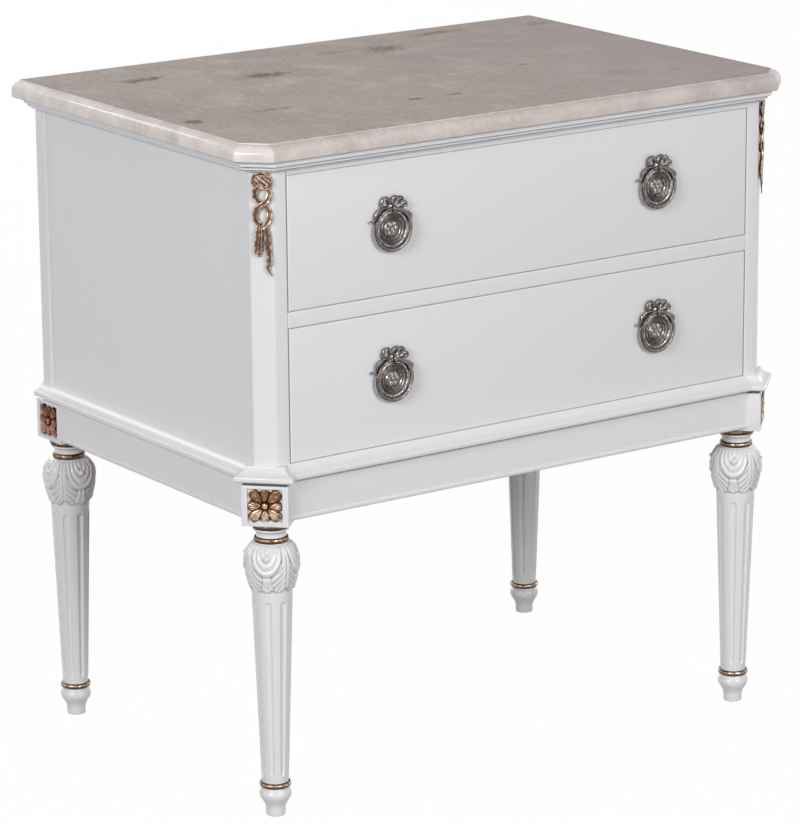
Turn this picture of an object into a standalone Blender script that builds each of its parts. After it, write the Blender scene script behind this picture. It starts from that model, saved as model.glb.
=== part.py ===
"""Two-drawer bedside commode: white lacquered case on turned fluted legs, stone top,
gilt rosettes and ribbons, silvered ring pulls. Metres, +Z up, floor at z = 0.

Pieces are modelled in the case's own frame: x = 0 in the middle, y = 0 on the plane of
the drawer fronts and growing to the back, z = 0 on the floor. One empty then centres the
whole over the origin.
"""

import math

import bmesh
import bpy

# Fits
CLEARANCE = 0.0003
DRAWER_GAP = 0.0012
DRAWER_SIDE_PLAY = 0.0023
GUIDE_PLAY = 0.0005

# Case
OPENING_WIDTH = 0.5816
OPENING_HEIGHT = 0.1375
POST_FACE = 0.0156
POST_CANT = 0.0166
POST_SIDE_STRIP = 0.014
CASE_DEPTH = 0.431
BACK_POST_WIDTH = 0.032
BACK_POST_DEPTH = 0.018
SIDE_PANEL_THICKNESS = 0.012
SIDE_PANEL_REVEAL = 0.0025
PANEL_GROOVE = 0.008
BACK_PANEL_THICKNESS = 0.006
BACK_PANEL_INSET = 0.003
BACK_PANEL_GROOVE = 0.006
MIDDLE_RAIL_HEIGHT = 0.0165
MIDDLE_RAIL_DEPTH = 0.030
TOP_BOARD_THICKNESS = 0.017
RUNNER_GUIDE_HEIGHT = 0.012

# Stone top
STONE_THICKNESS = 0.018
STONE_FRONT_OVERHANG = 0.018
STONE_SIDE_OVERHANG = 0.0215
STONE_BACK_OVERHANG = 0.011
STONE_CANT = 0.026
STONE_ARRIS = 0.0015
STONE_OVOLO_REACH = 0.0075
STONE_OVOLO_HEIGHT = 0.0085
STONE_FILLET_HEIGHT = 0.0018
STONE_FILLET_SET = 0.0012

# Cornice under the stone
CORNICE_UPPER_REACH = 0.0095
CORNICE_UPPER_HEIGHT = 0.0038
CORNICE_LOWER_REACH = 0.006
CORNICE_LOWER_HEIGHT = 0.0042
CORNICE_FOOT_REACH = 0.003
CORNICE_FOOT_HEIGHT = 0.0035

# Base: moulding, aprons and corner blocks
COVE_REACH = 0.0105
COVE_DROP = 0.008
NOSE_REACH = 0.012
NOSE_HEIGHT = 0.0048
BED_REACH = 0.0042
BED_HEIGHT = 0.0052
MOULDING_DEPTH = 0.015
BLOCK_WIDTH = 0.048
BLOCK_HEIGHT = 0.043
FRONT_BLOCK_FORWARD = 0.004
CAP_SETBACK = 0.0042
FRONT_LEG_SETBACK = 0.0205
BACK_LEG_INSET = 0.018
BACK_LEG_SIDE_INSET = 0.018
APRON_FACE = 0.0036
BACK_APRON_FACE = -0.0045
APRON_THICKNESS = 0.020
APRON_BEAD_HEIGHT = 0.006
APRON_BEAD_REACH = 0.0015

# Turned legs, from the floor up
LEG_HEIGHT = 0.3125
FOOT_HEIGHT = 0.030
FOOT_TIP_RADIUS = 0.0102
FOOT_RADIUS = 0.0162
FOOT_WIDEST = 0.85
FOOT_TAPER_START = 0.2
FOOT_FULLNESS = 1.5
ANKLE_HEIGHT = 0.007
ANKLE_RADIUS = 0.0164
SHAFT_LOW_RADIUS = 0.0138
SHAFT_TOP_RADIUS = 0.0208
FLUTE_COUNT = 8
FLUTE_DEPTH = 0.0024
FLUTE_LOW_MARGIN = 0.006
FLUTE_TOP_MARGIN = 0.010
BULB_HEIGHT = 0.052
BULB_RADIUS = 0.0287
BULB_FULLNESS = 0.75
BEAD_HEIGHT = 0.0055
BEAD_RADIUS = 0.0176
NECK_HEIGHT = 0.010
NECK_RADIUS = 0.0152
COLLAR_HEIGHT = 0.0067
COLLAR_RADIUS = 0.0195
TENON_RADIUS = 0.010
TENON_LENGTH = 0.022

# Gilt ornaments
RECESS_WIDTH = 0.0355
RECESS_DEPTH = 0.0025
ROSETTE_CORNER_RADIUS = 0.0218
ROSETTE_SIDE_RADIUS = 0.0170
ROSETTE_VALLEY_RADIUS = 0.0135
ROSETTE_BUTTON_RADIUS = 0.0042
ROSETTE_THICKNESS = 0.005
RIBBON_WIDTH = 0.0225
RIBBON_BAND = 0.005
RIBBON_THICKNESS = 0.0035
RIBBON_LAYER = 0.0002
RIBBON_DROP = 0.0015
RIBBON_KNOT_HEIGHT = 0.0145
RIBBON_LOOP_HEIGHT = 0.028
RIBBON_SHORT_TAIL = 0.042
RIBBON_LONG_TAIL = 0.0505

# Drawers
FRONT_THICKNESS = 0.019
DRAWER_SIDE_THICKNESS = 0.012
DRAWER_SIDE_HEIGHT = 0.110
DRAWER_SIDE_LIFT = 0.0088
DRAWER_BACK_THICKNESS = 0.012
DRAWER_BACK_SPACE = 0.012
DRAWER_BOTTOM_THICKNESS = 0.005
DRAWER_BOTTOM_LIFT = 0.010
DRAWER_GROOVE = 0.006

# Ring pulls
PULL_SPACING = 0.336
PULL_DISC_RADIUS = 0.0183
PULL_DISC_THICKNESS = 0.005
PULL_BOSS_RADIUS = 0.0065
PULL_BOSS_THICKNESS = 0.0066
PULL_CREST_THICKNESS = 0.003
PULL_CREST_HEIGHT = 0.0345
PULL_CREST_WIDTH = 0.030
PULL_TAIL_REACH = 0.0245
PULL_TAIL_THICKNESS = 0.002
PULL_TAIL_RISE = 0.0064
PULL_TAIL_TOP = 0.0045
PULL_TAIL_DROOP = 0.001
PULL_TAIL_FOOT = 0.003
RING_RADIUS = 0.021
RING_WIRE_RADIUS = 0.0018
RING_STAND_OFF = 0.006
EYE_WIDTH = 0.004
EYE_WALL = 0.0015
EYE_PLAY = 0.0006
SCREW_RADIUS = 0.0019
SCREW_BITE = 0.003
SCREW_HEAD_RADIUS = 0.0048
SCREW_HEAD_HEIGHT = 0.0028

# Places that follow from the sizes
HALF_OPENING = OPENING_WIDTH / 2
HALF_CASE = HALF_OPENING + POST_FACE + POST_CANT
POST_BACK_Y = POST_CANT + POST_SIDE_STRIP
BACK_POST_Y = CASE_DEPTH - BACK_POST_DEPTH
PANEL_OUTER_X = HALF_CASE - SIDE_PANEL_REVEAL
PANEL_INNER_X = PANEL_OUTER_X - SIDE_PANEL_THICKNESS
BACK_PANEL_Y = CASE_DEPTH - BACK_PANEL_INSET - BACK_PANEL_THICKNESS
MOULDING_HEIGHT = COVE_DROP + NOSE_HEIGHT + BED_HEIGHT
BLOCK_TOP = LEG_HEIGHT + BLOCK_HEIGHT
CASE_FLOOR = BLOCK_TOP + MOULDING_HEIGHT
RAIL_BOTTOM = CASE_FLOOR + OPENING_HEIGHT
RAIL_TOP = RAIL_BOTTOM + MIDDLE_RAIL_HEIGHT
TOP_BOARD_BOTTOM = RAIL_TOP + OPENING_HEIGHT
STONE_BOTTOM = TOP_BOARD_BOTTOM + TOP_BOARD_THICKNESS
CORNICE_HEIGHT = CORNICE_UPPER_HEIGHT + CORNICE_LOWER_HEIGHT + CORNICE_FOOT_HEIGHT
DIAGONAL = math.sqrt(0.5)
MITRE = math.tan(math.pi / 8)
FRONT_LEG_X = HALF_CASE - POST_CANT / 2 - FRONT_LEG_SETBACK * DIAGONAL
FRONT_LEG_Y = POST_CANT / 2 + FRONT_LEG_SETBACK * DIAGONAL
BACK_LEG_X = HALF_CASE - BACK_LEG_SIDE_INSET
BACK_LEG_Y = CASE_DEPTH - BACK_LEG_INSET
CAP_WIDTH = BLOCK_WIDTH - 2 * CAP_SETBACK + 2 * NOSE_REACH
CAP_REACH = (CAP_WIDTH + FRONT_BLOCK_FORWARD) * DIAGONAL
FRONT_LIMIT = max(CAP_REACH - FRONT_LEG_Y, STONE_FRONT_OVERHANG)
BACK_LIMIT = CASE_DEPTH + STONE_BACK_OVERHANG
CASE_FRONT_Y = (FRONT_LIMIT - BACK_LIMIT) / 2
FRONT_HEIGHT = OPENING_HEIGHT - 2 * DRAWER_GAP
DRAWER_HALF = HALF_OPENING - DRAWER_SIDE_PLAY
DRAWER_INNER_HALF = DRAWER_HALF - DRAWER_SIDE_THICKNESS
DRAWER_END_Y = BACK_PANEL_Y - DRAWER_BACK_SPACE

# Facets
LEG_FACETS = 3 * FLUTE_COUNT
ROSETTE_FACETS = 24
DISC_FACETS = 20
RING_FACETS = 24
WIRE_FACETS = 7
SMALL_FACETS = 12

# Turns that point a piece's face, modelled towards -Y, out of each corner
CORNER_TURN = {"front_left": -45, "front_right": 45, "back_left": -90, "back_right": 90}


def material(name, colour, roughness, metallic=0.0):
    """A plain finish for one family of pieces."""
    finish = bpy.data.materials.new(name)
    finish.use_nodes = True
    shader = finish.node_tree.nodes["Principled BSDF"]
    shader.inputs["Base Color"].default_value = (*colour, 1.0)
    shader.inputs["Roughness"].default_value = roughness
    shader.inputs["Metallic"].default_value = metallic
    return finish


def empty(name, location, parent=None):
    """A reference point that pieces hang on."""
    point = bpy.data.objects.new(name, None)
    point.location = location
    point.parent = parent
    bpy.context.collection.objects.link(point)
    return point


def loft(rings, joined=False):
    """Skin closed rings of equal length, capped at both ends or joined into a loop."""
    shape = bmesh.new()
    rows = [[shape.verts.new(point) for point in ring] for ring in rings]
    following = rows[1:] + rows[:1] if joined else rows[1:]
    for low, high in zip(rows, following):
        for index in range(len(low)):
            turn = (index + 1) % len(low)
            shape.faces.new((low[index], low[turn], high[turn], high[index]))
    if not joined:
        shape.faces.new(rows[0][::-1])
        shape.faces.new(rows[-1])
    bmesh.ops.recalc_face_normals(shape, faces=shape.faces)
    return shape


def prism(outline, axis, low, high):
    """Extrude a flat outline from low to high along X, Y or Z."""
    place = {
        "X": lambda u, v, w: (w, u, v),
        "Y": lambda u, v, w: (u, w, v),
        "Z": lambda u, v, w: (u, v, w),
    }[axis]
    return loft([[place(u, v, level) for u, v in outline] for level in (low, high)])


def box(low, high):
    """A block between two opposite corners."""
    outline = [(low[0], low[1]), (high[0], low[1]), (high[0], high[1]), (low[0], high[1])]
    return prism(outline, "Z", low[2], high[2])


def circle(radius, level, facets, axis="Z", centre=(0.0, 0.0), stretch=1.0):
    """Points round a circle about the Z or the Y axis, at one level along that axis."""
    points = []
    for step in range(facets):
        angle = 2 * math.pi * step / facets
        u = centre[0] + radius * math.cos(angle)
        v = centre[1] + radius * stretch * math.sin(angle)
        points.append((u, v, level) if axis == "Z" else (u, level, v))
    return points


def piece(name, shape, finish, parent, location=(0, 0, 0), turn=0.0, smooth=False):
    """Turn a shape into a named object in its finish, at its place."""
    mesh = bpy.data.meshes.new(name)
    shape.to_mesh(mesh)
    shape.free()
    mesh.materials.append(finish)
    if smooth:
        mesh.shade_smooth()
        mesh.set_sharp_from_angle(angle=math.radians(35))
    made = bpy.data.objects.new(name, mesh)
    made.parent = parent
    made.location = location
    made.rotation_euler = (0, 0, math.radians(turn))
    bpy.context.collection.objects.link(made)
    return made


def combine(target, shape, operation, location=(0, 0, 0), turn=0.0):
    """Cut a shape out of a piece, or join it on, in the piece's parent frame."""
    helper = piece("helper", shape, target.data.materials[0], target.parent, location, turn)
    step = target.modifiers.new(operation, "BOOLEAN")
    step.operation = operation
    step.object = helper
    bpy.context.view_layer.update()
    graph = bpy.context.evaluated_depsgraph_get()
    mesh = bpy.data.meshes.new_from_object(target.evaluated_get(graph))
    target.modifiers.clear()
    spent = target.data
    target.data = mesh
    bpy.data.meshes.remove(spent)
    bpy.data.objects.remove(helper)
    mesh.name = target.name


def mirrored(outline, side):
    """The outline of a right-hand piece, flipped for the left when side is -1."""
    return [(side * u, v) for u, v in outline]


def side_of(corner):
    """-1 for a corner on the left, 1 for one on the right."""
    return -1 if corner.endswith("left") else 1


def stone_outline(inset):
    """Plan of the stone drawn in from its sides, canted corners and front by an inset."""
    half = HALF_CASE + STONE_SIDE_OVERHANG - inset
    front = inset - STONE_FRONT_OVERHANG
    cant = STONE_CANT - inset * (1 - MITRE)
    back = CASE_DEPTH + STONE_BACK_OVERHANG
    right = [(half - cant, front), (half, front + cant), (half, back)]
    return right + [(-x, y) for x, y in reversed(right)]


def build_stone_top(parent, finish):
    """Polished slab: small arris below, ovolo edge, and a fillet round the top face."""
    edge = [(STONE_ARRIS, 0.0), (0.0, STONE_ARRIS)]
    ovolo_top = STONE_THICKNESS - STONE_FILLET_HEIGHT
    for step in range(5):
        angle = math.pi / 2 * step / 4
        inset = STONE_OVOLO_REACH * (1 - math.cos(angle))
        level = ovolo_top - STONE_OVOLO_HEIGHT * (1 - math.sin(angle))
        edge.append((inset, level))
    edge.append((STONE_OVOLO_REACH + STONE_FILLET_SET, ovolo_top))
    edge.append((STONE_OVOLO_REACH + STONE_FILLET_SET, STONE_THICKNESS))
    rings = [[(x, y, z) for x, y in stone_outline(inset)] for inset, z in edge]
    place = (0, 0, STONE_BOTTOM + CLEARANCE)
    piece("stone_top", loft(rings), finish, parent, place)


def case_outline(reach):
    """Line round the case's left side, cants, front and right side, moved outwards."""
    half = HALF_CASE + reach
    right = [
        (HALF_CASE - POST_CANT + reach * MITRE, -reach),
        (half, POST_CANT - reach * MITRE),
        (half, CASE_DEPTH),
    ]
    return [(-x, y) for x, y in reversed(right)] + right


def build_cornice(parent, finish):
    """Stepped moulding wrapped round the top of the case, tight under the stone."""
    upper = STONE_BOTTOM - CORNICE_UPPER_HEIGHT
    lower = upper - CORNICE_LOWER_HEIGHT
    foot = lower - CORNICE_FOOT_HEIGHT
    section = [
        (CLEARANCE, STONE_BOTTOM),
        (CORNICE_UPPER_REACH, STONE_BOTTOM),
        (CORNICE_UPPER_REACH, upper),
        (CORNICE_LOWER_REACH, upper),
        (CORNICE_LOWER_REACH, lower),
        (CORNICE_FOOT_REACH, lower),
        (CORNICE_FOOT_REACH, foot),
        (CLEARANCE, foot),
    ]
    lines = [case_outline(reach) for reach, level in section]
    rings = []
    for index in range(len(lines[0])):
        rings.append([(*line[index], level) for line, (_, level) in zip(lines, section)])
    piece("cornice", loft(rings), finish, parent)


def build_posts(parent, finish):
    """Canted front posts and square back posts, grooved for the panels they hold."""
    low = CASE_FLOOR + CLEARANCE
    high = STONE_BOTTOM - CLEARANCE
    groove_outer = PANEL_OUTER_X + CLEARANCE
    groove_inner = PANEL_INNER_X - CLEARANCE
    front = [
        (HALF_OPENING, 0.0),
        (HALF_CASE - POST_CANT, 0.0),
        (HALF_CASE, POST_CANT),
        (HALF_CASE, POST_BACK_Y),
        (groove_outer, POST_BACK_Y),
        (groove_outer, POST_BACK_Y - PANEL_GROOVE),
        (groove_inner, POST_BACK_Y - PANEL_GROOVE),
        (groove_inner, POST_BACK_Y),
        (HALF_OPENING, POST_BACK_Y),
    ]
    inner = HALF_CASE - BACK_POST_WIDTH
    rebate_front = BACK_PANEL_Y - CLEARANCE
    rebate_back = BACK_PANEL_Y + BACK_PANEL_THICKNESS + CLEARANCE
    back = [
        (groove_outer, BACK_POST_Y),
        (HALF_CASE, BACK_POST_Y),
        (HALF_CASE, CASE_DEPTH),
        (inner, CASE_DEPTH),
        (inner, rebate_back),
        (inner + BACK_PANEL_GROOVE, rebate_back),
        (inner + BACK_PANEL_GROOVE, rebate_front),
        (inner, rebate_front),
        (inner, BACK_POST_Y),
        (groove_inner, BACK_POST_Y),
        (groove_inner, BACK_POST_Y + PANEL_GROOVE),
        (groove_outer, BACK_POST_Y + PANEL_GROOVE),
    ]
    for corner in CORNER_TURN:
        outline = front if corner.startswith("front") else back
        shape = prism(mirrored(outline, side_of(corner)), "Z", low, high)
        piece(f"post_{corner}", shape, finish, parent)


def build_panels(parent, finish):
    """Side panels held in the posts' grooves, and the back panel between the back posts."""
    low = CASE_FLOOR + CLEARANCE
    high = STONE_BOTTOM - CLEARANCE
    front = POST_BACK_Y - PANEL_GROOVE + CLEARANCE
    back = BACK_POST_Y + PANEL_GROOVE - CLEARANCE
    side_plan = [
        (PANEL_INNER_X, front),
        (PANEL_OUTER_X, front),
        (PANEL_OUTER_X, back),
        (PANEL_INNER_X, back),
    ]
    for name, side in (("left", -1), ("right", 1)):
        shape = prism(mirrored(side_plan, side), "Z", low, high)
        piece(f"side_panel_{name}", shape, finish, parent)
    half = HALF_CASE - BACK_POST_WIDTH + BACK_PANEL_GROOVE - CLEARANCE
    corner_low = (-half, BACK_PANEL_Y, low)
    corner_high = (half, BACK_PANEL_Y + BACK_PANEL_THICKNESS, high)
    piece("back_panel", box(corner_low, corner_high), finish, parent)


def build_rails_and_boards(parent, finish, timber):
    """Top board notched round the posts, rail between the drawers, and the case bottom."""
    post_x = HALF_OPENING - CLEARANCE
    panel_x = PANEL_INNER_X - CLEARANCE
    back_x = HALF_CASE - BACK_POST_WIDTH - CLEARANCE
    back_y = BACK_PANEL_Y - 2 * CLEARANCE
    right = [
        (post_x, 0.0),
        (post_x, POST_BACK_Y + CLEARANCE),
        (panel_x, POST_BACK_Y + CLEARANCE),
        (panel_x, BACK_POST_Y - CLEARANCE),
        (back_x, BACK_POST_Y - CLEARANCE),
        (back_x, back_y),
    ]
    outline = right + [(-x, y) for x, y in reversed(right)]
    top = prism(outline, "Z", TOP_BOARD_BOTTOM, STONE_BOTTOM - CLEARANCE)
    piece("top_board", top, finish, parent)
    rail_low = (-post_x, 0.0, RAIL_BOTTOM)
    rail_high = (post_x, MIDDLE_RAIL_DEPTH, RAIL_TOP)
    piece("middle_rail", box(rail_low, rail_high), finish, parent)
    half = HALF_CASE - MOULDING_DEPTH - CLEARANCE
    bottom_low = (-half, MOULDING_DEPTH + CLEARANCE, BLOCK_TOP + CLEARANCE)
    bottom_high = (half, CASE_DEPTH, CASE_FLOOR)
    bottom = piece("case_bottom", box(bottom_low, bottom_high), timber, parent)
    cut_round_front_blocks(bottom)


def build_runners(parent, timber):
    """L-shaped hardwood strips: a ledge under each drawer side and a guide beside it."""
    outer = PANEL_INNER_X - CLEARANCE
    guide = DRAWER_HALF + GUIDE_PLAY
    for level, floor in (("upper", RAIL_TOP), ("lower", CASE_FLOOR)):
        low = floor + CLEARANCE
        ledge = floor + DRAWER_GAP + DRAWER_SIDE_LIFT - CLEARANCE
        section = [
            (DRAWER_INNER_HALF, low),
            (outer, low),
            (outer, ledge + RUNNER_GUIDE_HEIGHT),
            (guide, ledge + RUNNER_GUIDE_HEIGHT),
            (guide, ledge),
            (DRAWER_INNER_HALF, ledge),
        ]
        for name, side in (("left", -1), ("right", 1)):
            front = POST_BACK_Y + CLEARANCE
            shape = prism(mirrored(section, side), "Y", front, BACK_POST_Y - CLEARANCE)
            piece(f"runner_{level}_{name}", shape, timber, parent)


def moulding_line():
    """Outer line of the base moulding, top to bottom: cove, round nose, bed under it."""
    line = []
    for step in range(5):
        angle = math.pi / 2 * step / 4
        reach = COVE_REACH * (1 - math.cos(angle))
        line.append((reach, CASE_FLOOR - COVE_DROP * math.sin(angle)))
    nose_top = CASE_FLOOR - COVE_DROP
    nose_bottom = nose_top - NOSE_HEIGHT
    rounding = NOSE_REACH - COVE_REACH
    line.append((NOSE_REACH, nose_top - rounding))
    line.append((NOSE_REACH, nose_bottom + rounding))
    line.append((COVE_REACH, nose_bottom))
    line.append((BED_REACH, nose_bottom))
    line.append((BED_REACH, BLOCK_TOP))
    return line


def front_block_shape(grow=0.0):
    """Block with its moulded cap, as rings stacked up the leg's axis, deeper to its face."""
    outline = [(BLOCK_WIDTH / 2, LEG_HEIGHT - grow), (BLOCK_WIDTH / 2, BLOCK_TOP)]
    cap = [(BLOCK_WIDTH / 2 - CAP_SETBACK + reach, z) for reach, z in reversed(moulding_line())]
    outline += cap[1:]
    outline[-1] = (outline[-1][0], CASE_FLOOR + grow)
    rings = []
    for half, level in outline:
        side = half + grow
        face = -side - FRONT_BLOCK_FORWARD
        corners = ((-side, face), (side, face), (side, side), (-side, side))
        rings.append([(x, y, level) for x, y in corners])
    return loft(rings)


def cut_round_front_blocks(target):
    """Fit the end of a run, apron or board round the two canted front blocks."""
    for corner in ("front_left", "front_right"):
        place = (side_of(corner) * FRONT_LEG_X, FRONT_LEG_Y, 0)
        turn = CORNER_TURN[corner]
        combine(target, front_block_shape(CLEARANCE), "DIFFERENCE", place, turn)


def build_base_moulding(parent, finish):
    """Cove moulding along the front and sides of the base, coped against the blocks' caps."""
    section = moulding_line()
    section[-1] = (BED_REACH, BLOCK_TOP + CLEARANCE)
    section += [(-MOULDING_DEPTH, BLOCK_TOP + CLEARANCE), (-MOULDING_DEPTH, CASE_FLOOR)]
    front_section = [(-reach, z) for reach, z in section]
    front = prism(front_section, "X", -FRONT_LEG_X, FRONT_LEG_X)
    cut_round_front_blocks(piece("base_moulding_front", front, finish, parent))
    side_section = [(HALF_CASE + reach, z) for reach, z in section]
    for name, side in (("left", -1), ("right", 1)):
        shape = prism(mirrored(side_section, side), "Y", FRONT_LEG_Y, CASE_DEPTH)
        cut_round_front_blocks(piece(f"base_moulding_{name}", shape, finish, parent))


def apron_section(face):
    """Reach and height round an apron whose plain face stands at a reach from the case."""
    bead_top = LEG_HEIGHT + APRON_BEAD_HEIGHT
    bead = APRON_BEAD_REACH
    return [
        (face, BLOCK_TOP),
        (face - APRON_THICKNESS, BLOCK_TOP),
        (face - APRON_THICKNESS, LEG_HEIGHT),
        (face + bead / 2, LEG_HEIGHT),
        (face + bead, LEG_HEIGHT + bead / 2),
        (face + bead, bead_top - bead),
        (face, bead_top),
    ]


def build_aprons(parent, finish):
    """Boards under the case between the blocks, with a bead along their lower edge."""
    section = apron_section(APRON_FACE)
    front = prism([(-reach, z) for reach, z in section], "X", -FRONT_LEG_X, FRONT_LEG_X)
    cut_round_front_blocks(piece("apron_front", front, finish, parent))
    side_section = [(HALF_CASE + reach, z) for reach, z in section]
    side_end = BACK_LEG_Y - BLOCK_WIDTH / 2 - CLEARANCE
    for name, side in (("left", -1), ("right", 1)):
        shape = prism(mirrored(side_section, side), "Y", FRONT_LEG_Y, side_end)
        cut_round_front_blocks(piece(f"apron_{name}", shape, finish, parent))
    back_section = [(CASE_DEPTH + reach, z) for reach, z in apron_section(BACK_APRON_FACE)]
    back_half = BACK_LEG_X - BLOCK_WIDTH / 2 - CLEARANCE
    back = prism(back_section, "X", -back_half, back_half)
    piece("apron_back", back, finish, parent)


def leg_profile():
    """Radius and height of the turned leg, floor to tenon, with a mark on fluted rings."""
    profile = []
    for step in range(4):
        part = step / 3
        taper = max(0.0, (part - FOOT_TAPER_START) / (1 - FOOT_TAPER_START))
        swell = math.sin(math.pi / 2 * taper) ** FOOT_FULLNESS
        radius = FOOT_TIP_RADIUS + (FOOT_RADIUS - FOOT_TIP_RADIUS) * swell
        profile.append((radius, FOOT_WIDEST * FOOT_HEIGHT * part, False))
    ankle_top = FOOT_HEIGHT + ANKLE_HEIGHT
    profile.append((SHAFT_LOW_RADIUS, FOOT_HEIGHT, False))
    profile += torus_rings(ANKLE_RADIUS, FOOT_HEIGHT, ankle_top)
    profile.append((SHAFT_LOW_RADIUS, ankle_top, False))
    shoulder = LEG_HEIGHT - CLEARANCE
    collar_low = shoulder - COLLAR_HEIGHT
    bead_top = collar_low - NECK_HEIGHT
    bead_low = bead_top - BEAD_HEIGHT
    bulb_low = bead_low - BULB_HEIGHT
    flute_low = ankle_top + FLUTE_LOW_MARGIN
    flute_top = bulb_low - FLUTE_TOP_MARGIN
    for level, fluted in (
        (flute_low, False),
        (flute_low + FLUTE_DEPTH, True),
        (flute_top - FLUTE_DEPTH, True),
        (flute_top, False),
        (bulb_low, False),
    ):
        part = (level - ankle_top) / (bulb_low - ankle_top)
        radius = SHAFT_LOW_RADIUS + (SHAFT_TOP_RADIUS - SHAFT_LOW_RADIUS) * part
        profile.append((radius, level, fluted))
    for step in range(1, 6):
        part = step / 6
        rim = SHAFT_TOP_RADIUS + (NECK_RADIUS - SHAFT_TOP_RADIUS) * part
        swell = math.sin(math.pi * part) ** BULB_FULLNESS
        profile.append((rim + (BULB_RADIUS - rim) * swell, bulb_low + BULB_HEIGHT * part, False))
    profile.append((NECK_RADIUS, bead_low, False))
    profile += torus_rings(BEAD_RADIUS, bead_low, bead_top)
    profile.append((NECK_RADIUS, bead_top, False))
    profile.append((NECK_RADIUS, collar_low, False))
    profile += torus_rings(COLLAR_RADIUS, collar_low, shoulder)
    profile.append((NECK_RADIUS, shoulder, False))
    profile.append((TENON_RADIUS, shoulder, False))
    profile.append((TENON_RADIUS, shoulder + TENON_LENGTH, False))
    return profile


def torus_rings(crest, low, high):
    """Two rings of a round bead between two heights, as a leg profile holds them."""
    return [(crest, low + (high - low) * part, False) for part in (0.25, 0.75)]


def build_legs_and_blocks(parent, lacquer, gilt):
    """Corner blocks with a recess for a gilt rosette and a socket for the leg's tenon."""
    rings = []
    for radius, level, fluted in leg_profile():
        ring = []
        for step in range(LEG_FACETS):
            angle = 2 * math.pi * step / LEG_FACETS
            depth = FLUTE_DEPTH if fluted and step % 3 == 0 else 0.0
            reach = radius - depth
            ring.append((reach * math.cos(angle), reach * math.sin(angle), level))
        rings.append(ring)
    half = BLOCK_WIDTH / 2
    recess_half = RECESS_WIDTH / 2
    middle = LEG_HEIGHT + BLOCK_HEIGHT / 2
    for corner, turn in CORNER_TURN.items():
        if corner.startswith("front"):
            place = (side_of(corner) * FRONT_LEG_X, FRONT_LEG_Y, 0)
            face = half + FRONT_BLOCK_FORWARD
            shape = front_block_shape()
        else:
            place = (side_of(corner) * BACK_LEG_X, BACK_LEG_Y, 0)
            face = half
            shape = box((-half, -half, LEG_HEIGHT), (half, half, BLOCK_TOP))
        piece(f"leg_{corner}", loft(rings), lacquer, parent, place, turn, smooth=True)
        block = piece(f"corner_block_{corner}", shape, lacquer, parent, place, turn)
        recess = box(
            (-recess_half, -2 * half, middle - recess_half),
            (recess_half, RECESS_DEPTH - face, middle + recess_half),
        )
        combine(block, recess, "DIFFERENCE", place, turn)
        socket_radius = TENON_RADIUS + CLEARANCE
        socket_levels = (LEG_HEIGHT - TENON_LENGTH, LEG_HEIGHT + TENON_LENGTH)
        socket = loft([circle(socket_radius, z, LEG_FACETS) for z in socket_levels])
        combine(block, socket, "DIFFERENCE", place, turn)
        outwards = math.radians(turn)
        floor = face - RECESS_DEPTH + CLEARANCE
        rosette_place = (
            place[0] + floor * math.sin(outwards),
            place[1] - floor * math.cos(outwards),
            middle,
        )
        piece(f"rosette_{corner}", rosette_shape(), gilt, parent, rosette_place, turn, smooth=True)


def rosette_shape():
    """Eight petals round a button, long petals to the corners, flat at the back."""
    rows = (
        (1.0, 0.0),
        (1.0, 0.3),
        (0.7, 0.85),
        (0.0, 0.55),
        (-0.3, 1.0),
    )
    rings = []
    for spread, lift in rows:
        ring = []
        for step in range(ROSETTE_FACETS):
            angle = 2 * math.pi * (step + 0.5) / ROSETTE_FACETS - math.pi / 8
            petal = step // 3
            tip = ROSETTE_SIDE_RADIUS if petal % 2 == 0 else ROSETTE_CORNER_RADIUS
            edge = tip if step % 3 == 1 else ROSETTE_VALLEY_RADIUS
            button = ROSETTE_BUTTON_RADIUS
            radius = button + (edge - button) * spread if spread >= 0 else button * (1 + spread)
            height = -ROSETTE_THICKNESS * lift
            ring.append((radius * math.cos(angle), height, radius * math.sin(angle)))
        rings.append(ring)
    return loft(rings)


def ribbon_layer(order):
    """Back and front depth of a strand, each lying a little inside the one before it."""
    inset = order * RIBBON_LAYER
    return -CLEARANCE - inset, inset - RIBBON_THICKNESS


def ribbon_loop(centre_z, order):
    """A flat oval ring standing on the post's face, joined round its section."""
    back, front = ribbon_layer(order)
    rings = []
    for inset, depth in ((0.0, back), (0.0, front), (RIBBON_BAND, front), (RIBBON_BAND, back)):
        across = RIBBON_WIDTH / 2 - inset
        stretch = (RIBBON_LOOP_HEIGHT / 2 - inset) / across
        rings.append(circle(across, depth, SMALL_FACETS, "Y", (0, centre_z), stretch))
    return loft(rings, joined=True)


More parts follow.
